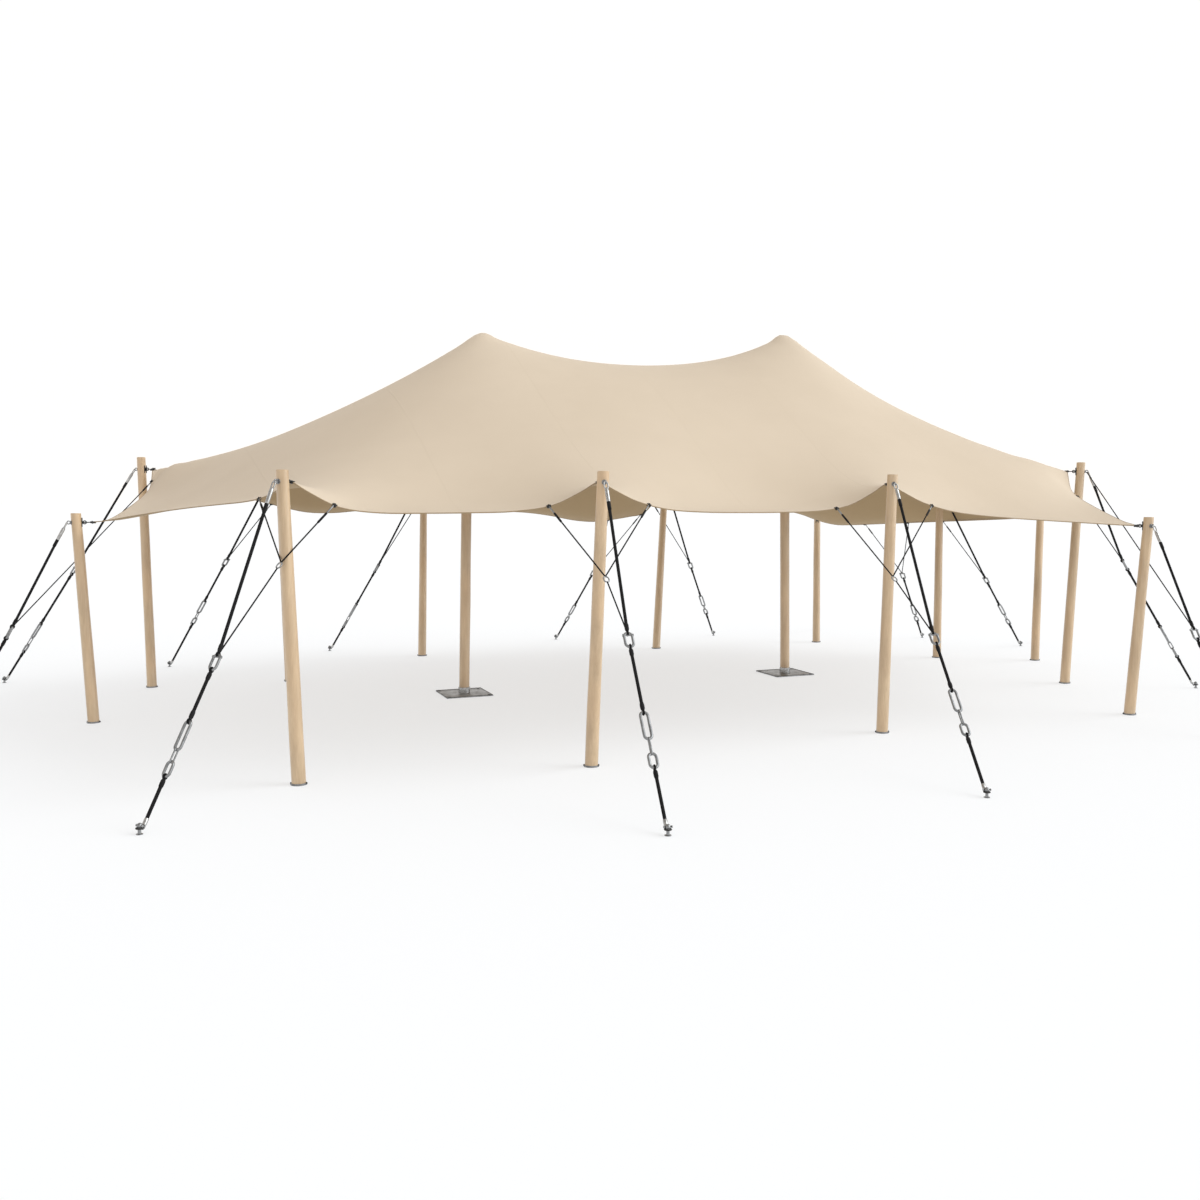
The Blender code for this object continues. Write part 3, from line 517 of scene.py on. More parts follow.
class Shape:
    """Collects closed shapes, each with its finish, into the mesh of one piece."""

    def __init__(self, name, origin=(0, 0, 0)):
        self.name = name
        self.origin = Vector(origin)
        self.points, self.faces, self.uvs, self.finishes, self.slots = [], [], [], [], []

    def add(self, made, finish):
        """One shape's points, faces and UVs. The finish is one name, or a name for each face."""
        points, faces, uvs = made
        start = len(self.points)
        self.points.extend(tuple(point) for point in points)
        self.faces.extend([start + corner for corner in face] for face in faces)
        self.uvs.extend(uvs)
        for name in [finish] * len(faces) if isinstance(finish, str) else finish:
            if name not in self.slots:
                self.slots.append(name)
            self.finishes.append(self.slots.index(name))

    def build(self, slot, smooth_angle=radians(38)):
        mesh = bpy.data.meshes.new(self.name)
        origin = np.array(self.origin)
        mesh.from_pydata([tuple(np.array(point) - origin) for point in self.points], [], self.faces)
        flat = [corner for face in self.uvs for corner in face]
        mesh.uv_layers.new(name="UVMap").data.foreach_set("uv", np.array(flat, np.float32).ravel())
        for name in self.slots:
            mesh.materials.append(FINISHES[name])
        mesh.polygons.foreach_set("material_index", np.array(self.finishes, np.int32))
        mesh.shade_smooth()
        mesh.set_sharp_from_angle(angle=smooth_angle)
        mesh.update()
        item = placed(self.name, mesh)
        item.location = self.origin
        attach(item, "root")
        return item


def circle(sides):
    """Evenly spaced angles of one turn."""
    return [2 * pi * j / sides for j in range(sides)]


def ring_points(middle, side, other, radius, sides):
    """A ring of points in the plane of two unit vectors."""
    return [middle + (side * cos(angle) + other * sin(angle)) * radius for angle in circle(sides)]


def loft(rings, closed=False):
    """Points, faces and UVs of a skin over rings of points. The UV is turns and metres."""
    count, sides = len(rings), len(rings[0])
    points = [point for ring in rings for point in ring]
    middles = [sum((Vector(p) for p in ring), Vector()) / sides for ring in rings]
    lengths = [0.0]
    for before, after in zip(middles, middles[1:] + middles[:1]):
        lengths.append(lengths[-1] + (after - before).length)
    faces, uvs = [], []
    for i in range(count if closed else count - 1):
        following = (i + 1) % count
        for j in range(sides):
            k = (j + 1) % sides
            faces.append([i * sides + j, i * sides + k, following * sides + k, following * sides + j])
            corners = ((j, i), (j + 1, i), (j + 1, i + 1), (j, i + 1))
            uvs.append([(turn / sides, lengths[ring]) for turn, ring in corners])
    if not closed:
        faces.append(list(reversed(range(sides))))
        faces.append([(count - 1) * sides + j for j in range(sides)])
        uvs += [[(0.5 + 0.5 * cos(angle), 0.02 * sin(angle)) for angle in circle(sides)]] * 2
    return points, faces, uvs


def sweep(path, radii, sides=12, closed=False):
    """A round bar along the path. The radii are one number or one for each point."""
    path = [Vector(point) for point in path]
    count = len(path)
    radii = [radii] * count if isinstance(radii, float) else radii
    tangents = []
    for i in range(count):
        before = path[i - 1] if i or closed else path[i]
        after = path[(i + 1) % count] if i < count - 1 or closed else path[i]
        tangents.append((after - before).normalized())
    side = tangents[0].orthogonal().normalized()
    rings = []
    for i, (point, tangent) in enumerate(zip(path, tangents)):
        if i:
            side = tangents[i - 1].rotation_difference(tangent) @ side
        side = (side - tangent * side.dot(tangent)).normalized()
        rings.append(ring_points(point, side, tangent.cross(side), radii[i], sides))
    return loft(rings, closed)


def turned(centre, axis, profile, sides=24):
    """A shape turned about an axis from (radius, distance along it) points."""
    axis = Vector(axis).normalized()
    side = axis.orthogonal().normalized()
    other = axis.cross(side)
    rings = []
    for radius, distance in profile:
        middle = Vector(centre) + axis * distance
        rings.append(ring_points(middle, side, other, max(radius, 0.00001), sides))
    return loft(rings)


def rounded(radius, length, edge):
    """Profile of a cylinder with rounded edges, from its start to its end."""
    points = []
    for step in range(4):
        angle = radians(90) * step / 3
        points.append((radius - edge + sin(angle) * edge, edge - cos(angle) * edge))
    return points + [(r, length - d) for r, d in reversed(points)]


def block(centre, axes, size, edge):
    """A box with bevelled edges. The axes are three unit vectors."""
    shape = bmesh.new()
    bmesh.ops.create_cube(shape, size=1.0, matrix=Matrix.Diagonal((*size, 1.0)))
    bmesh.ops.bevel(shape, geom=shape.edges, offset=edge, segments=2, affect="EDGES", profile=0.6)
    shape.verts.index_update()
    turn = Matrix(axes).transposed()
    points = [Vector(centre) + turn @ vertex.co for vertex in shape.verts]
    faces = [[vertex.index for vertex in face.verts] for face in shape.faces]
    shape.free()
    return points, faces, [[(0.0, 0.0)] * len(face) for face in faces]


def link_path(centre, along, across, length, width, arc_steps=10):
    """Points round a long link: two half circles joined by straight sides."""
    bend = width / 2
    reach = length / 2 - bend
    points = []
    for end in (1, -1):
        for step in range(arc_steps + 1):
            angle = pi * step / arc_steps
            forward = along * (reach + sin(angle) * bend) * end
            points.append(centre + forward + across * cos(angle) * bend * end)
    return points


def link(centre, along, across, size, sides=12):
    """A closed link. The size is its length, width and bar radius."""
    length, width, bar = size
    path = link_path(centre, along, across, length - 2 * bar, width - 2 * bar)
    return sweep(path, bar, sides, closed=True)


def hexagon(centre, axis, radius, thickness):
    """A nut or bolt head."""
    edge = thickness * 0.12
    start, end = [(radius - edge, 0.0), (radius, edge)], [(radius, thickness - edge)]
    return turned(centre, axis, start + end + [(radius - edge, thickness)], 6)


def node_points(name):
    return np.array([vertex.co for vertex in frame["nodes"][name].data.vertices])


def level_centre(points, level):
    """Middle of the points at one level, such as a pole's flat top."""
    flat = points[np.abs(points[:, 2] - level) < 0.0005]
    return Vector((*((flat.min(0) + flat.max(0)) / 2)[:2], level))


def level_way(start, end):
    """The level direction from one point to another."""
    return Vector((end.x - start.x, end.y - start.y, 0)).normalized()


def names_with(start):
    return sorted(name[len(start):] for name in frame["nodes"] if name.startswith(start))


def canopy_grid():
    """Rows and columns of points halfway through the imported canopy, front to back."""
    shape = bmesh.new()
    shape.from_mesh(frame["nodes"]["canopy"].data)
    bmesh.ops.remove_doubles(shape, verts=shape.verts, dist=WELD_DISTANCE)
    shape.verts.ensure_lookup_table()
    shape.verts.index_update()
    tree = KDTree(len(shape.verts))
    for vertex in shape.verts:
        tree.insert(vertex.co, vertex.index)
    tree.balance()
    partner = {v: shape.verts[tree.find_n(v.co, 2)[1][1]] for v in shape.verts}
    upper = {v for v, other in partner.items() if v.co.z > other.co.z}
    rim = {}
    for edge in shape.edges:
        if upper.issuperset(edge.verts) and any(not upper.issuperset(f.verts) for f in edge.link_faces):
            for vertex in edge.verts:
                rim.setdefault(vertex, set()).add(edge.other_vert(vertex))

    def corner(pole):
        return min(rim, key=lambda v: (v.co - pole_tops[pole]).length)

    front, end = [corner("left_low")], corner("right_low")
    front.append(min(rim[front[0]], key=lambda v: v.co.y))
    while front[-1] is not end:
        front.append((rim[front[-1]] - {front[-2]}).pop())
    rows, used = [front], set(front)
    while len(used) < len(upper):
        row = [(rim[rows[-1][0]] - used).pop()]
        left = {edge.other_vert(v) for v in rows[-1] for edge in v.link_edges} & upper - used
        used |= left
        left.discard(row[0])
        while left:
            row.append(({edge.other_vert(row[-1]) for edge in row[-1].link_edges} & left).pop())
            left.discard(row[-1])
        rows.append(row)
    grid = [[(v.co + partner[v].co) / 2 for v in row] for row in rows]
    shape.free()
    return np.array(grid)


def smoothed_through(points, steps):
    """More points along the first axis, on a smooth curve through the given ones."""
    padded = np.concatenate([2 * points[:1] - points[1:2], points, 2 * points[-1:] - points[-2:-1]])
    before, start, end, after = padded[:-3], padded[1:-2], padded[2:-1], padded[3:]
    pieces = []
    for step in range(steps):
        t = step / steps
        piece = 2 * start + (end - before) * t + (2 * before - 5 * start + 4 * end - after) * t**2
        pieces.append((piece + (3 * start - before - 3 * end + after) * t**3) / 2)
    result = np.stack(pieces, axis=1).reshape(-1, *points.shape[1:])
    return np.concatenate([result, points[-1:]])


def grid_normals(grid):
    normals = np.cross(np.gradient(grid, axis=1), np.gradient(grid, axis=0))
    return normals / np.linalg.norm(normals, axis=2, keepdims=True)


def border_of(grid):
    """The grid's edge as one closed loop, counter-clockwise from the front left."""
    return np.concatenate([grid[0, :-1], grid[:-1, -1], grid[-1, :0:-1], grid[:0:-1, 0]])


def move_corners(grid):
    """Brings some of the sheet's corners a little nearer to their poles, or up."""
    for name, (inside, reach, out, lift) in CORNER_MOVES.items():
        edge = border_of(grid)
        top = np.array(pole_tops[name])
        corner = edge[np.argmin(np.linalg.norm(edge - top, axis=1))]
        towards = (top - corner) * (1, 1, 0)
        towards /= np.linalg.norm(towards)
        distance = np.linalg.norm(grid - corner + towards * inside, axis=2)
        share = np.exp(-(distance / reach) ** 2)
        grid += share[..., None] * (towards * out + np.array((0, 0, lift)))


def inward_of(grid):
    """For each point of the border loop, the unit vector to its neighbour inside the sheet."""
    inside = np.pad(grid[1:-1, 1:-1], ((1, 1), (1, 1), (0, 0)), mode="edge")
    inward = border_of(inside - grid)
    return inward / np.linalg.norm(inward, axis=1, keepdims=True)


def distances(points):
    """How far each point lies along the line through all of them."""
    steps = np.linalg.norm(np.diff(points, axis=0), axis=1)
    return np.concatenate([[0.0], np.cumsum(steps)])


def make_sheet(grid):
    """The fabric as a thin closed skin: sand above, and below a darker taupe, the same fabric with painted
    shade.
    """
    rows, columns = grid.shape[:2]
    normals = grid_normals(grid) * SHEET_THICKNESS / 2
    numbers = np.arange(rows * columns).reshape(rows, columns)
    cells = np.stack([numbers[:-1, :-1], numbers[:-1, 1:], numbers[1:, 1:], numbers[1:, :-1]], -1)
    cells = cells.reshape(-1, 4)
    loop = border_of(numbers[..., None])[:, 0]
    following = np.roll(loop, -1)
    below = rows * columns
    rim = np.stack([loop + below, following + below, following, loop], -1)
    same_diagonal = [0, 3, 2, 1]
    faces = np.concatenate([cells, cells[:, same_diagonal] + below, rim]).tolist()
    points = np.concatenate([(grid + normals).reshape(-1, 3), (grid - normals).reshape(-1, 3)])
    # The under faces take the taupe with painted shade.
    finishes = ["fabric_top"] * len(cells) + ["fabric_under"] * len(cells) + ["fabric_top"] * len(rim)
    uvs = [[tuple(points[corner][:2]) for corner in face] for face in faces]
    sheet = Shape("canopy_sheet")
    sheet.add((points, faces, uvs), finishes)
    item = sheet.build("canvas", radians(70))
    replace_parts(item, "canopy")
    return item


def make_hem(grid):
    """The folded and stitched hem with a cord in its edge. Its inner face and the cord are in the taupe
    with painted shade, a thin painted shade line along the edge.
    """
    edge = border_of(grid)
    outer = border_of(grid_normals(grid)) * (HEM_THICKNESS / 2)
    inner = outer * HEM_TAPER
    fold = edge + inward_of(grid) * HEM_WIDTH
    points = np.stack([edge + outer, fold + inner, fold - inner, edge - outer], 1).reshape(-1, 3)
    lengths = distances(np.concatenate([edge, edge[:1]]))
    across = (0.0, HEM_WIDTH, HEM_WIDTH, 0.0)
    faces, uvs = [], []
    for i in range(len(edge)):
        following = (i + 1) % len(edge)
        for j in range(4):
            k = (j + 1) % 4
            faces.append([i * 4 + j, following * 4 + j, following * 4 + k, i * 4 + k])
            corners = ((i, j), (i + 1, j), (i + 1, k), (i, k))
            uvs.append([(lengths[place], across[corner]) for place, corner in corners])
    hem = Shape("canopy_hem")
    # The hem's inner face takes the taupe with painted shade.
    hem.add((points, faces, uvs), ["hem_top", "hem_top", "hem_under", "hem_top"] * len(edge))
    points, faces, uvs = sweep(edge, HEM_BEAD_RADIUS, 10, closed=True)
    # The cord is in the taupe with painted shade, a thin painted shade line along the hem's edge.
    hem.add((points, faces, [[(v, 0.02) for _, v in face] for face in uvs]), "hem_under")
    return hem.build("canvas", radians(60))


def make_patches(surface):
    """Round doubled patches under the fabric where the masts push it up, in the underside's taupe with
    painted shade.
    """
    patches = Shape("canopy_patches")
    for side in ("left", "right"):
        name = f"mast_{side}"
        head = level_centre(node_points(name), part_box(name)[1].z)
        rings = []
        for share, thickness in [(share, PATCH_THICKNESS) for share in PATCH_RINGS] + [(1.0, 0.0)]:
            ring = []
            for angle in circle(PATCH_SIDES):
                out = Vector((cos(angle), sin(angle), 0)) * max(share * PATCH_RADIUS, 0.004)
                hit = surface.ray_cast(head - UP * PATCH_SEARCH_DEPTH + out, UP)[0]
                ring.append(hit - UP * thickness)
            rings.append(ring)
        # The patches take the underside's taupe with painted shade.
        patches.add(loft(rings), "fabric_under")
    return patches.build("canvas", radians(60))


def make_log(name, foot, top, radii, crown=FLAT_CROWN):
    """A peeled log that wanders a little. Its crown is rings as drop below the top and inset."""
    height = top.z - foot.z
    count = max(8, round(height / LOG_RING_STEP))
    levels = [(level, 0.0) for level in np.linspace(0, height - crown[0][0], count)]
    levels += [(height - drop, inset) for drop, inset in crown[1:]]
    phases = np.random.default_rng(sum(map(ord, name))).uniform(0, 2 * pi, (6, 2))
    lean = Vector(((top.x - foot.x) / height, (top.y - foot.y) / height, 1.0))
    rings = []
    for level, inset in levels:
        ring = []
        for angle in circle(LOG_SIDES):
            radius = radii[0] + (radii[1] - radii[0]) * (level / height)
            for wave, (around, up) in enumerate(phases):
                swell = sin((wave % 3 + 1) * angle + around) * sin((1.3 + wave) * level + up)
                radius += LOG_WANDER / 2 * swell
            ring.append(foot + lean * level + Vector((cos(angle), sin(angle), 0)) * (radius - inset))
        rings.append(ring)
    log = Shape(name, foot)
    made = loft(rings)
    log.add(made, ["pine"] * (len(made[1]) - 2) + ["pine_end"] * 2)
    return log


class PoleFacts:
    """Where one side pole stands, where its bolt is, and which way its guy line goes."""

    def __init__(self, name, ear):
        points = node_points(f"pole_{name}")
        self.name, self.ear, self.top = name, ear, pole_tops[name]
        self.foot = level_centre(points, 0.0)
        self.stake = level_centre(node_points(f"stake_{name}"), 0.0)
        self.away = level_way(self.top, self.stake)
        if name in INNER_POLES:
            upper = points[points[:, 2] > self.top.z * 0.5]
            far = upper[np.argmax(upper @ np.array(self.away))]
            level = float(far[2]) - INNER_BOLT_DROP
        else:
            level = ear.z
        self.bolt = self.foot.lerp(self.top, level / self.top.z)
        self.guy_top = self.bolt + self.away * GUY_TOP_REACH


def add_bolt_side(shape, centre, out, finish):
    """Washer, nut and eye where the through bolt leaves a pole. Returns the eye's centre."""
    surface = centre + out * (BOLT_SEAT - WASHER_SUNK)
    thickness = WASHER_THICKNESS + WASHER_SUNK
    shape.add(turned(surface, out, rounded(WASHER_RADIUS, thickness, 0.0012)), finish)
    nut = surface + out * thickness
    shape.add(hexagon(nut, out, NUT_RADIUS, NUT_THICKNESS), finish)
    eye = centre + out * (BOLT_SEAT + EYE_STAND_OFF)
    shape.add(sweep([centre, eye - out * EYE_RADIUS], BOLT_RADIUS, 12), finish)
    ring = link_path(eye, out, UP, EYE_RADIUS * 2, EYE_RADIUS * 2, 9)
    shape.add(sweep(ring, EYE_BAR, 10, closed=True), finish)
    return eye


def add_ear_clamp(shape, ear, towards, normal):
    """Two dark plates that grip the fabric's corner, with their bolts."""
    side = normal.cross(towards).normalized()
    for sign in (1, -1):
        plate = ear + normal * sign * (SHEET_THICKNESS / 2 + CLAMP_PLATE[2] / 2 + CLAMP_GAP)
        shape.add(block(plate, (towards, side, normal), CLAMP_PLATE, 0.0018), "dark_steel")
    for shift in (-CLAMP_BOLT_SHIFT, CLAMP_BOLT_SHIFT):
        centre = ear + side * shift - towards * CLAMP_BOLT_BACK
        bolt = [centre - normal * CLAMP_BOLT_HALF, centre + normal * CLAMP_BOLT_HALF]
        shape.add(sweep(bolt, CLAMP_BOLT_RADIUS * 0.6, 10), "steel")
        for sign in (1, -1):
            head = centre + normal * sign * 0.009
            shape.add(hexagon(head, normal * sign, CLAMP_BOLT_RADIUS, 0.006), "steel")


def make_fittings(facts, sheet_normal):
    """A side pole's steel: shoe, through bolt, bracket plates, and the clamp on the fabric."""
    shape = Shape(f"pole_fittings_{facts.name}", facts.foot)
    shape.add(turned(facts.foot, UP, rounded(SHOE_RADIUS, SHOE_THICKNESS, 0.002), 40), "steel")
    inner, outer = POLE_FOOT_RADIUS + 0.0005, POLE_FOOT_RADIUS + 0.0045
    low, high = SHOE_THICKNESS, SHOE_COLLAR_HEIGHT
    collar = [(inner, low), (outer, low), (outer, high), (inner, high), (inner, low)]
    shape.add(turned(facts.foot, UP, collar, 40), "steel")
    for way in (LUG_WAY, -LUG_WAY):
        lug = facts.foot + way * (POLE_FOOT_RADIUS + 0.004) + UP * LUG_HEIGHT
        shape.add(hexagon(lug, way, 0.008, 0.008), "dark_steel")
    add_bolt_side(shape, facts.bolt, facts.away, "steel")
    if facts.name not in INNER_POLES:
        towards = (facts.ear - facts.bolt).normalized()
        inner_eye = add_bolt_side(shape, facts.bolt, towards, "dark_steel")
        across = towards.cross(UP).normalized()
        size = ((facts.ear - inner_eye).length + BRACKET_OVERLAP, BRACKET_WIDTH, BRACKET_BAR)
        shape.add(link((inner_eye + facts.ear) / 2, towards, across, size, 10), "dark_steel")
        add_ear_clamp(shape, facts.ear, towards, sheet_normal)
        for sign in (1, -1):
            strip = facts.bolt + towards * BOLT_SEAT + across * sign * STRIP_OFFSET
            shape.add(block(strip, (towards, across, UP), POLE_STRIP, 0.0015), "dark_steel")
    shape.build("galvanised_steel")


def add_mast_head(shape, neck):
    """A mast's wide timber head with a rubber dome, and a steel collar below it."""
    radius, top = MAST_HEAD_RADIUS, MAST_HEAD_HEIGHT - MAST_HEAD_RADIUS
    cap = [(MAST_RADIUS * 0.9, 0.002), (radius - 0.008, 0.0), (radius, 0.008)]
    cap += [(radius, top - 0.012), (radius * 0.9, top)]
    shape.add(turned(neck, UP, cap, 48), "pine")
    dome = [(radius - 0.003, top - 0.014), (radius, top - 0.01)]
    for step in range(1, 9):
        angle = radians(90) * step / 8
        dome.append((radius * cos(angle), top + radius * sin(angle)))
    shape.add(turned(neck, UP, dome, 48), "rubber")
    collar = [(MAST_RADIUS, -0.05), (MAST_RADIUS + 0.005, -0.048), (MAST_RADIUS + 0.005, 0.0)]
    shape.add(turned(neck, UP, collar, 40), "steel")


def make_mast_base(side, ground):
    """The square plate under a mast, with its socket, weld and corner bolts."""
    plate = Shape(f"mast_plate_{side}", ground)
    axes = (Vector((1, 0, 0)), Vector((0, 1, 0)), UP)
    top = ground + UP * PLATE_THICKNESS
    size = (PLATE_SIDE, PLATE_SIDE, PLATE_THICKNESS)
    plate.add(block(ground + UP * PLATE_THICKNESS / 2, axes, size, 0.003), "steel")
    corners = [Vector((x, y, 0)) for x, y in SQUARE]
    rim = [top + corner * (PLATE_SIDE / 2 - 0.006) for corner in corners]
    plate.add(sweep(rim, 0.0045, 8, closed=True), "dark_steel")
    inner, low, high = MAST_RADIUS + 0.003, PLATE_THICKNESS, SOCKET_HEIGHT
    socket = [(inner, low), (SOCKET_RADIUS, low), (SOCKET_RADIUS, high - 0.002)]
    socket += [(SOCKET_RADIUS - 0.002, high), (inner, high), (inner, low)]
    plate.add(turned(ground, UP, socket, 48), "bright_steel")
    weld = [top + Vector((cos(angle), sin(angle), 0)) * SOCKET_RADIUS for angle in circle(WELD_STEPS)]
    ripple = [0.004 + 0.0008 * sin(j * 2.4) for j in range(WELD_STEPS)]
    plate.add(sweep(weld, ripple, 8, closed=True), "steel")
    for corner in corners:
        place = top + corner * (PLATE_SIDE / 2 - PLATE_BOLT_INSET)
        plate.add(turned(place, UP, rounded(*PLATE_WASHER)), "dark_steel")
        plate.add(hexagon(place + UP * PLATE_WASHER[1], UP, *PLATE_BOLT_HEAD), "steel")
    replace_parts(plate.build("galvanised_steel"), f"mast_base_{side}")


def make_mast(side):
    """A mast with its wide rubber-capped head, and its base plate."""
    name = f"mast_{side}"
    points = node_points(name)
    low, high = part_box(name)
    foot, crown = level_centre(points, low.z), level_centre(points, high.z)
    neck = foot.lerp(crown, (high.z - MAST_HEAD_HEIGHT - low.z) / (high.z - low.z))
    log = make_log(f"mast_log_{side}", foot, neck + UP * 0.02, (MAST_RADIUS, MAST_RADIUS))
    add_mast_head(log, neck)
    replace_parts(log.build("pine"), name)
    make_mast_base(side, Vector((foot.x, foot.y, 0)))


class Border:
    """The hem as a closed polyline, with the place of each pole's corner on it."""

    def __init__(self, grid):
        self.points = border_of(grid)
        self.normals = border_of(grid_normals(grid))
        self.inward = inward_of(grid)
        self.poles = {}
        for name, top in pole_tops.items():
            if name not in INNER_POLES:
                self.poles[name] = int(np.argmin(np.linalg.norm(self.points - np.array(top), axis=1)))
        self.ears = {name: Vector(self.points[place]) for name, place in self.poles.items()}

    def walk(self, first, second, distance=None, share=None):
        """A point of the hem between two poles, with the way out of it and its normal."""
        count = len(self.points)
        start, end = self.poles[first], self.poles[second]
        step = 1 if (end - start) % count < (start - end) % count else -1
        steps = (end - start) * step % count
        way = [(start + step * i) % count for i in range(steps + 1)]
        stretch = self.points[way]
        run = distances(stretch[:, :2])
        goal = distance if distance is not None else share * run[-1]
        place = Vector([float(np.interp(goal, run, stretch[:, axis])) for axis in range(3)])
        nearest = way[int(np.argmin(np.abs(run - goal)))]
        return place, -Vector(self.inward[nearest]), Vector(self.normals[nearest])


def add_tab(metal, rope, tab, out, normal, end):
    """A clamp on the hem, its strap, sleeve and one thin strand down to the end point."""
    run = (end - tab).normalized()
    side = normal.cross(out).normalized()
    centre = tab - out * TAB_CLAMP_INSIDE
    metal.add(block(centre, (out, side, normal), TAB_CLAMP, 0.003), "dark_steel")
    bolt = [centre - normal * TAB_BOLT_HALF, centre + normal * TAB_BOLT_HALF]
    metal.add(sweep(bolt, TAB_BOLT_RADIUS, 8), "dark_steel")
    start = tab + out * TAB_CLAMP_INSIDE * 2
    metal.add(turned(start, run, STRAP_PROFILE, 14), "steel")
    sleeve = start + run * STRAP_LENGTH
    rope.add(turned(sleeve - run * 0.006, run, rounded(0.0105, TAB_SLEEVE_LENGTH, 0.004), 14), "rubber")
    rope.add(sweep([sleeve + run * (TAB_SLEEVE_LENGTH - 0.01), end], STRAND_RADIUS, 10), "rope")


def add_rope_eye(rope, bar, along, flat):
    """An eye spliced round a link's bar, with its sleeve. Returns where the rope begins."""
    size, radius = ROPE_EYE
    rope.add(link(bar, along, flat, (size, size, radius), 12), "rope")
    start = bar + along * (size / 2 - radius * 1.5)
    rope.add(turned(start, along, SLEEVE_PROFILE, 18), "rubber")
    return start + along * (SLEEVE_LENGTH - 0.01)


def add_links(metal, centres, fall):
    """The three links of a guy line, the rod between the last two, and the first one's pin."""
    across = fall.cross(UP).normalized()
    flat = fall.cross(across).normalized()
    ends = []
    for centre, size in zip(centres, (SHACKLE_LINK, LONG_LINK, OVAL_LINK)):
        metal.add(link(centre, fall, across, size), "steel")
        reach = fall * (size[0] / 2 - size[2])
        ends.append((centre - reach, centre + reach))
    long_end, oval_top = ends[1][1], ends[2][0]
    size = ((oval_top - long_end).length + ROD_OVERLAP, ROD_WIDTH, ROD_BAR)
    metal.add(link((long_end + oval_top) / 2, fall, flat, size), "steel")
    pin = [ends[0][0] + fall * PIN_INSIDE + across * side * PIN_REACH for side in (-1, 1)]
    metal.add(sweep(pin, PIN_RADIUS, 10), "steel")
    for end, way in zip(pin, (-across, across)):
        metal.add(hexagon(end, way, *PIN_HEAD), "steel")
    return ends, flat


def add_strands(rope, metal, tabs, knot, ring_shares):
    """The strands from the hem's clamps to the first link, through a ring where there is one."""
    ends = [knot] * len(tabs)
    if ring_shares:
        between, towards_knot = ring_shares
        ring = tabs[0][0].lerp(tabs[1][0], between).lerp(knot, towards_knot)
        run = (knot - ring).normalized()
        reach = run * (BRIDLE_RING[0] / 2 - BRIDLE_RING[2])
        metal.add(link(ring, run, run.cross(UP).normalized(), BRIDLE_RING), "steel")
        rope.add(sweep([ring + reach, knot], STRAND_RADIUS, 10), "rope")
        ends = [ring - reach] * 2
    for tab, end in zip(tabs, ends):
        add_tab(metal, rope, *tab, end)


def add_swage(rope, metal, eye, along):
    """The silver thimble and tapered sleeve at a guy line's top. Returns where its rope begins."""
    length, _, bar = THIMBLE
    thimble = eye + along * (length / 2 - bar * 1.5)
    metal.add(link(thimble, along, along.cross(UP).normalized(), THIMBLE), "bright_steel")
    swage = thimble + along * (length / 2 - bar)
    metal.add(turned(swage, along, SWAGE_PROFILE, 20), "bright_steel")
    start = swage + along * (SWAGE_LENGTH - 0.01)
    rope.add(turned(start - along * 0.004, along, rounded(*SWAGE_SLEEVE), 18), "rubber")
    return start


def make_guy(name, top, stake, tabs, eye=None, tie=None):
    """A guy line: rope, strands, links and the fittings on it, as a black and a steel piece."""
    rope = Shape(f"guy_rope_{name}", top)
    metal = Shape(f"guy_links_{name}", top)
    shackle_share, long_share, oval_share, pull_in = GUY_SHAPES.get(name, USUAL_GUY_SHAPE)
    foot = Vector((stake.x, stake.y, STAKE_EYE_HEIGHT)) - level_way(top, stake) * STAKE_REACH
    bend = top.lerp(foot, shackle_share) - level_way(top, foot) * pull_in
    rise, fall = (bend - top).normalized(), (foot - bend).normalized()
    upper, length = (bend - top).length, (bend - top).length + (foot - bend).length
    centres = [bend] + [bend + fall * (share * length - upper) for share in (long_share, oval_share)]
    ends, flat = add_links(metal, centres, fall)

    def add_rope(start, end):
        rope.add(sweep([start, end], ROPE_RADIUS, 16), "rope")

    if eye is not None:
        start = add_swage(rope, metal, eye, rise)
        add_rope(start, add_rope_eye(rope, ends[0][0], -rise, flat))
    start = add_rope_eye(rope, ends[0][1], fall, flat)
    add_rope(start, add_rope_eye(rope, ends[1][0], -fall, flat))
    ferrule = foot - fall * (FERRULE_LENGTH + 0.012)
    add_rope(add_rope_eye(rope, ends[2][1], fall, flat), ferrule + fall * 0.01)
    metal.add(turned(ferrule, fall, FERRULE_PROFILE, 18), "bright_steel")
    metal.add(link(foot - fall * 0.004, fall, fall.cross(UP).normalized(), HOOK), "steel")
    knot = ends[0][0] + fall * KNOT_INSIDE
    add_strands(rope, metal, tabs, knot, RINGS.get(name))
    if tie is not None:
        start = tie + (knot - tie).normalized() * TIE_STAND_OFF
        rope.add(sweep([start, knot], STRAND_RADIUS, 10), "rope")
    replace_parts(rope.build("black_rope"), f"guy_{name}")
    metal.build("galvanised_steel")


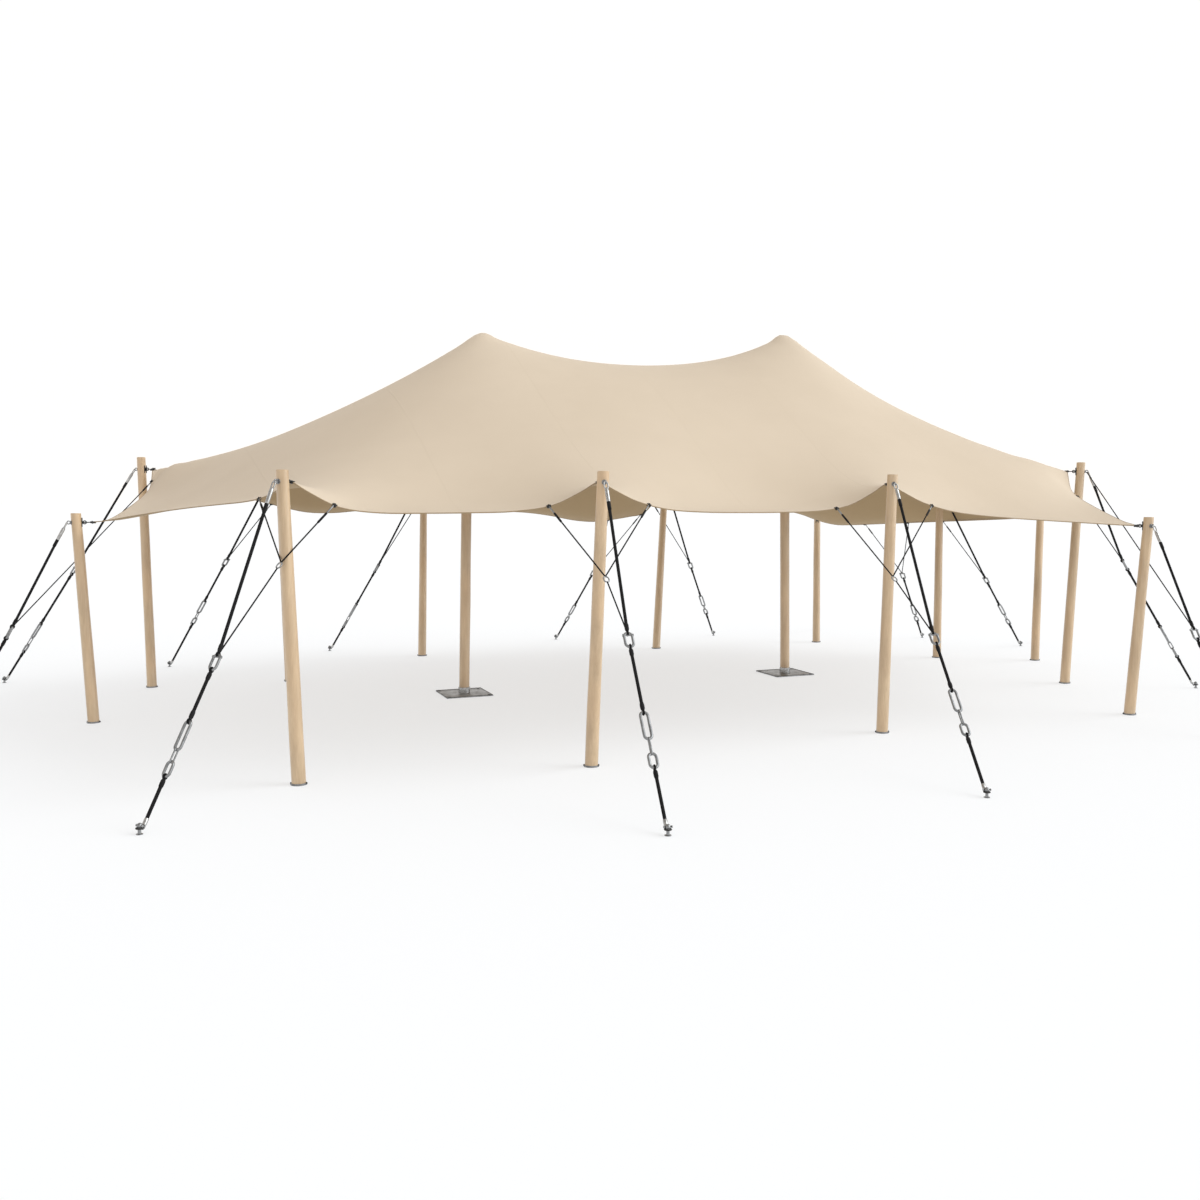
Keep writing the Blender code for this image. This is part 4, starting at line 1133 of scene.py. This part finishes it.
def make_stake(name, top):
    """The part of a ground stake above the ground: pin, ball head, cross bar and eye."""
    foot = level_centre(node_points(f"stake_{name}"), 0.0)
    away = level_way(top, foot)
    side = away.cross(UP)
    shape = Shape(f"stake_pin_{name}", foot)
    shape.add(turned(foot, UP, rounded(*STAKE_FLANGE), 32), "steel")
    pin = list(STAKE_PIN_PROFILE)
    for step in range(9):
        angle = radians(-40 + 130 * step / 8)
        pin.append((BALL_RADIUS * cos(angle), BALL_HEIGHT + BALL_RADIUS * sin(angle)))
    shape.add(turned(foot, UP, pin, 24), "steel")
    bar = [foot + UP * BALL_HEIGHT + side * way * CROSS_BAR_REACH for way in (-1, 1)]
    shape.add(sweep(bar, CROSS_BAR_RADIUS, 12), "dark_steel")
    for end, way in zip(bar, (-side, side)):
        shape.add(turned(end - way * 0.004, way, rounded(*CROSS_BAR_END), 16), "steel")
    ring = link_path(foot + UP * STAKE_EYE_HEIGHT, away, side, STAKE_EYE_WIDTH, STAKE_EYE_WIDTH)
    shape.add(sweep(ring, 0.0055, 10, closed=True), "dark_steel")
    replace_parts(shape.build("galvanised_steel"), f"stake_{name}")


def make_stage():
    """A pale floor, a white studio whose ceiling is dimmer on the left, and two soft lights."""
    nodes = Surface("floor_paper")
    material = nodes.finish(
        base_color=(FLOOR_ALBEDO,) * 3, roughness=0.9, specular_ior_level=0.1,
        emission_color=FLOOR_GLOW, emission_strength=1.0,
    )
    mesh = bpy.data.meshes.new("floor")
    corners = [(x * FLOOR_REACH, y * FLOOR_REACH, -FLOOR_GAP) for x, y in SQUARE]
    mesh.from_pydata(corners, [], [(0, 1, 2, 3)])
    mesh.materials.append(material)
    placed("floor", mesh)

    world = bpy.data.worlds.new("studio")
    world.use_nodes = True
    nodes = Nodes(world.node_tree)
    way = nodes.add("TexCoord", {}, "Generated")
    across = nodes.between(nodes.part("X", way), -CEILING_TURN, CEILING_TURN)
    upward = nodes.between(nodes.part("Z", way), CEILING_START, CEILING_END)
    ceiling = nodes.blend(across, CEILING_LEFT, CEILING_RIGHT)
    colour = nodes.blend(upward, WALL_COLOUR, ceiling)
    nodes.put(world.node_tree.nodes["Background"].inputs["Color"], colour)
    bpy.context.scene.world = world

    for name, (strength, softness, colour, place) in SUNS.items():
        light = bpy.data.lights.new(name, "SUN")
        light.energy = strength
        light.angle = radians(softness)
        light.color = colour
        placed(name, light).rotation_euler = Vector(place).to_track_quat("Z", "Y").to_euler()


def make_camera():
    camera = bpy.data.cameras.new("camera")
    camera.sensor_width = SENSOR_WIDTH
    camera.lens = SENSOR_WIDTH * FOCAL_PIXELS / PICTURE_SIDE
    camera.shift_y = (HORIZON_ROW - PICTURE_SIDE / 2) / PICTURE_SIDE
    camera.clip_end = 1000.0
    item = placed("camera", camera)
    item.location = CAMERA_PLACE
    item.rotation_euler = (radians(90), 0, radians(CAMERA_TURN))
    bpy.context.scene.camera = item


def clear_scene():
    packed = set(frame["nodes"].values()) | set(frame["bodies"].values())
    for item in set(bpy.data.objects) - packed:
        bpy.data.objects.remove(item, do_unlink=True)


def make_canopy(grid):
    """The sheet with its hem and the patches over the masts."""
    sheet = make_sheet(grid)
    hem = make_hem(grid)
    polygons = sheet.data.polygons
    surface = BVHTree.FromPolygons([v.co for v in sheet.data.vertices], [p.vertices for p in polygons])
    patches = make_patches(surface)


def make_pole(name, all_facts, border):
    """A side pole with its fittings, its guy line and its stake."""
    facts = all_facts[name]
    radii = (POLE_FOOT_RADIUS, POLE_TOP_RADIUS)
    crown = ROUND_CROWN if name in INNER_POLES else FLAT_CROWN
    log = make_log(f"pole_log_{name}", facts.foot + UP * SHOE_THICKNESS, facts.top, radii, crown)
    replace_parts(log.build("pine"), f"pole_{name}")
    normal = Vector(border.normals[border.poles[name]]) if name in border.poles else UP
    make_fittings(facts, normal)
    tabs = [border.walk(*poles, distance=distance) for *poles, distance in TABS.get(name, ())]
    eye = facts.bolt + facts.away * (BOLT_SEAT + EYE_STAND_OFF + EYE_RADIUS)
    tie = all_facts[TIES[name]].guy_top if name in TIES else None
    make_guy(name, facts.guy_top, facts.stake, tabs, eye, tie)
    make_stake(name, facts.guy_top)


def make_hem_line(name, border):
    """A guy line that holds the hem alone, with its stake."""
    first, second, shares = HEM_LINES[name]
    tabs = [border.walk(first, second, share=share) for share in shares]
    top = (tabs[0][0] + tabs[1][0]) / 2
    make_guy(name, top, level_centre(node_points(f"stake_{name}"), 0.0), tabs)
    make_stake(name, top)


clear_scene()
bpy.context.scene.view_settings.view_transform = "Standard"
make_camera()
make_stage()
pole_tops = {}
for name in names_with("pole_"):
    points = node_points(f"pole_{name}")
    pole_tops[name] = level_centre(points, points[:, 2].max())
grid = smoothed_through(canopy_grid(), SHEET_STEPS)
grid = smoothed_through(grid.transpose(1, 0, 2), SHEET_STEPS).transpose(1, 0, 2)
move_corners(grid)
make_canopy(grid)
for side in ("left", "right"):
    make_mast(side)
border = Border(grid)
pole_facts = {name: PoleFacts(name, border.ears.get(name)) for name in pole_tops}
for name in pole_tops:
    make_pole(name, pole_facts, border)
for name in HEM_LINES:
    make_hem_line(name, border)

bpy.context.view_layer.update()
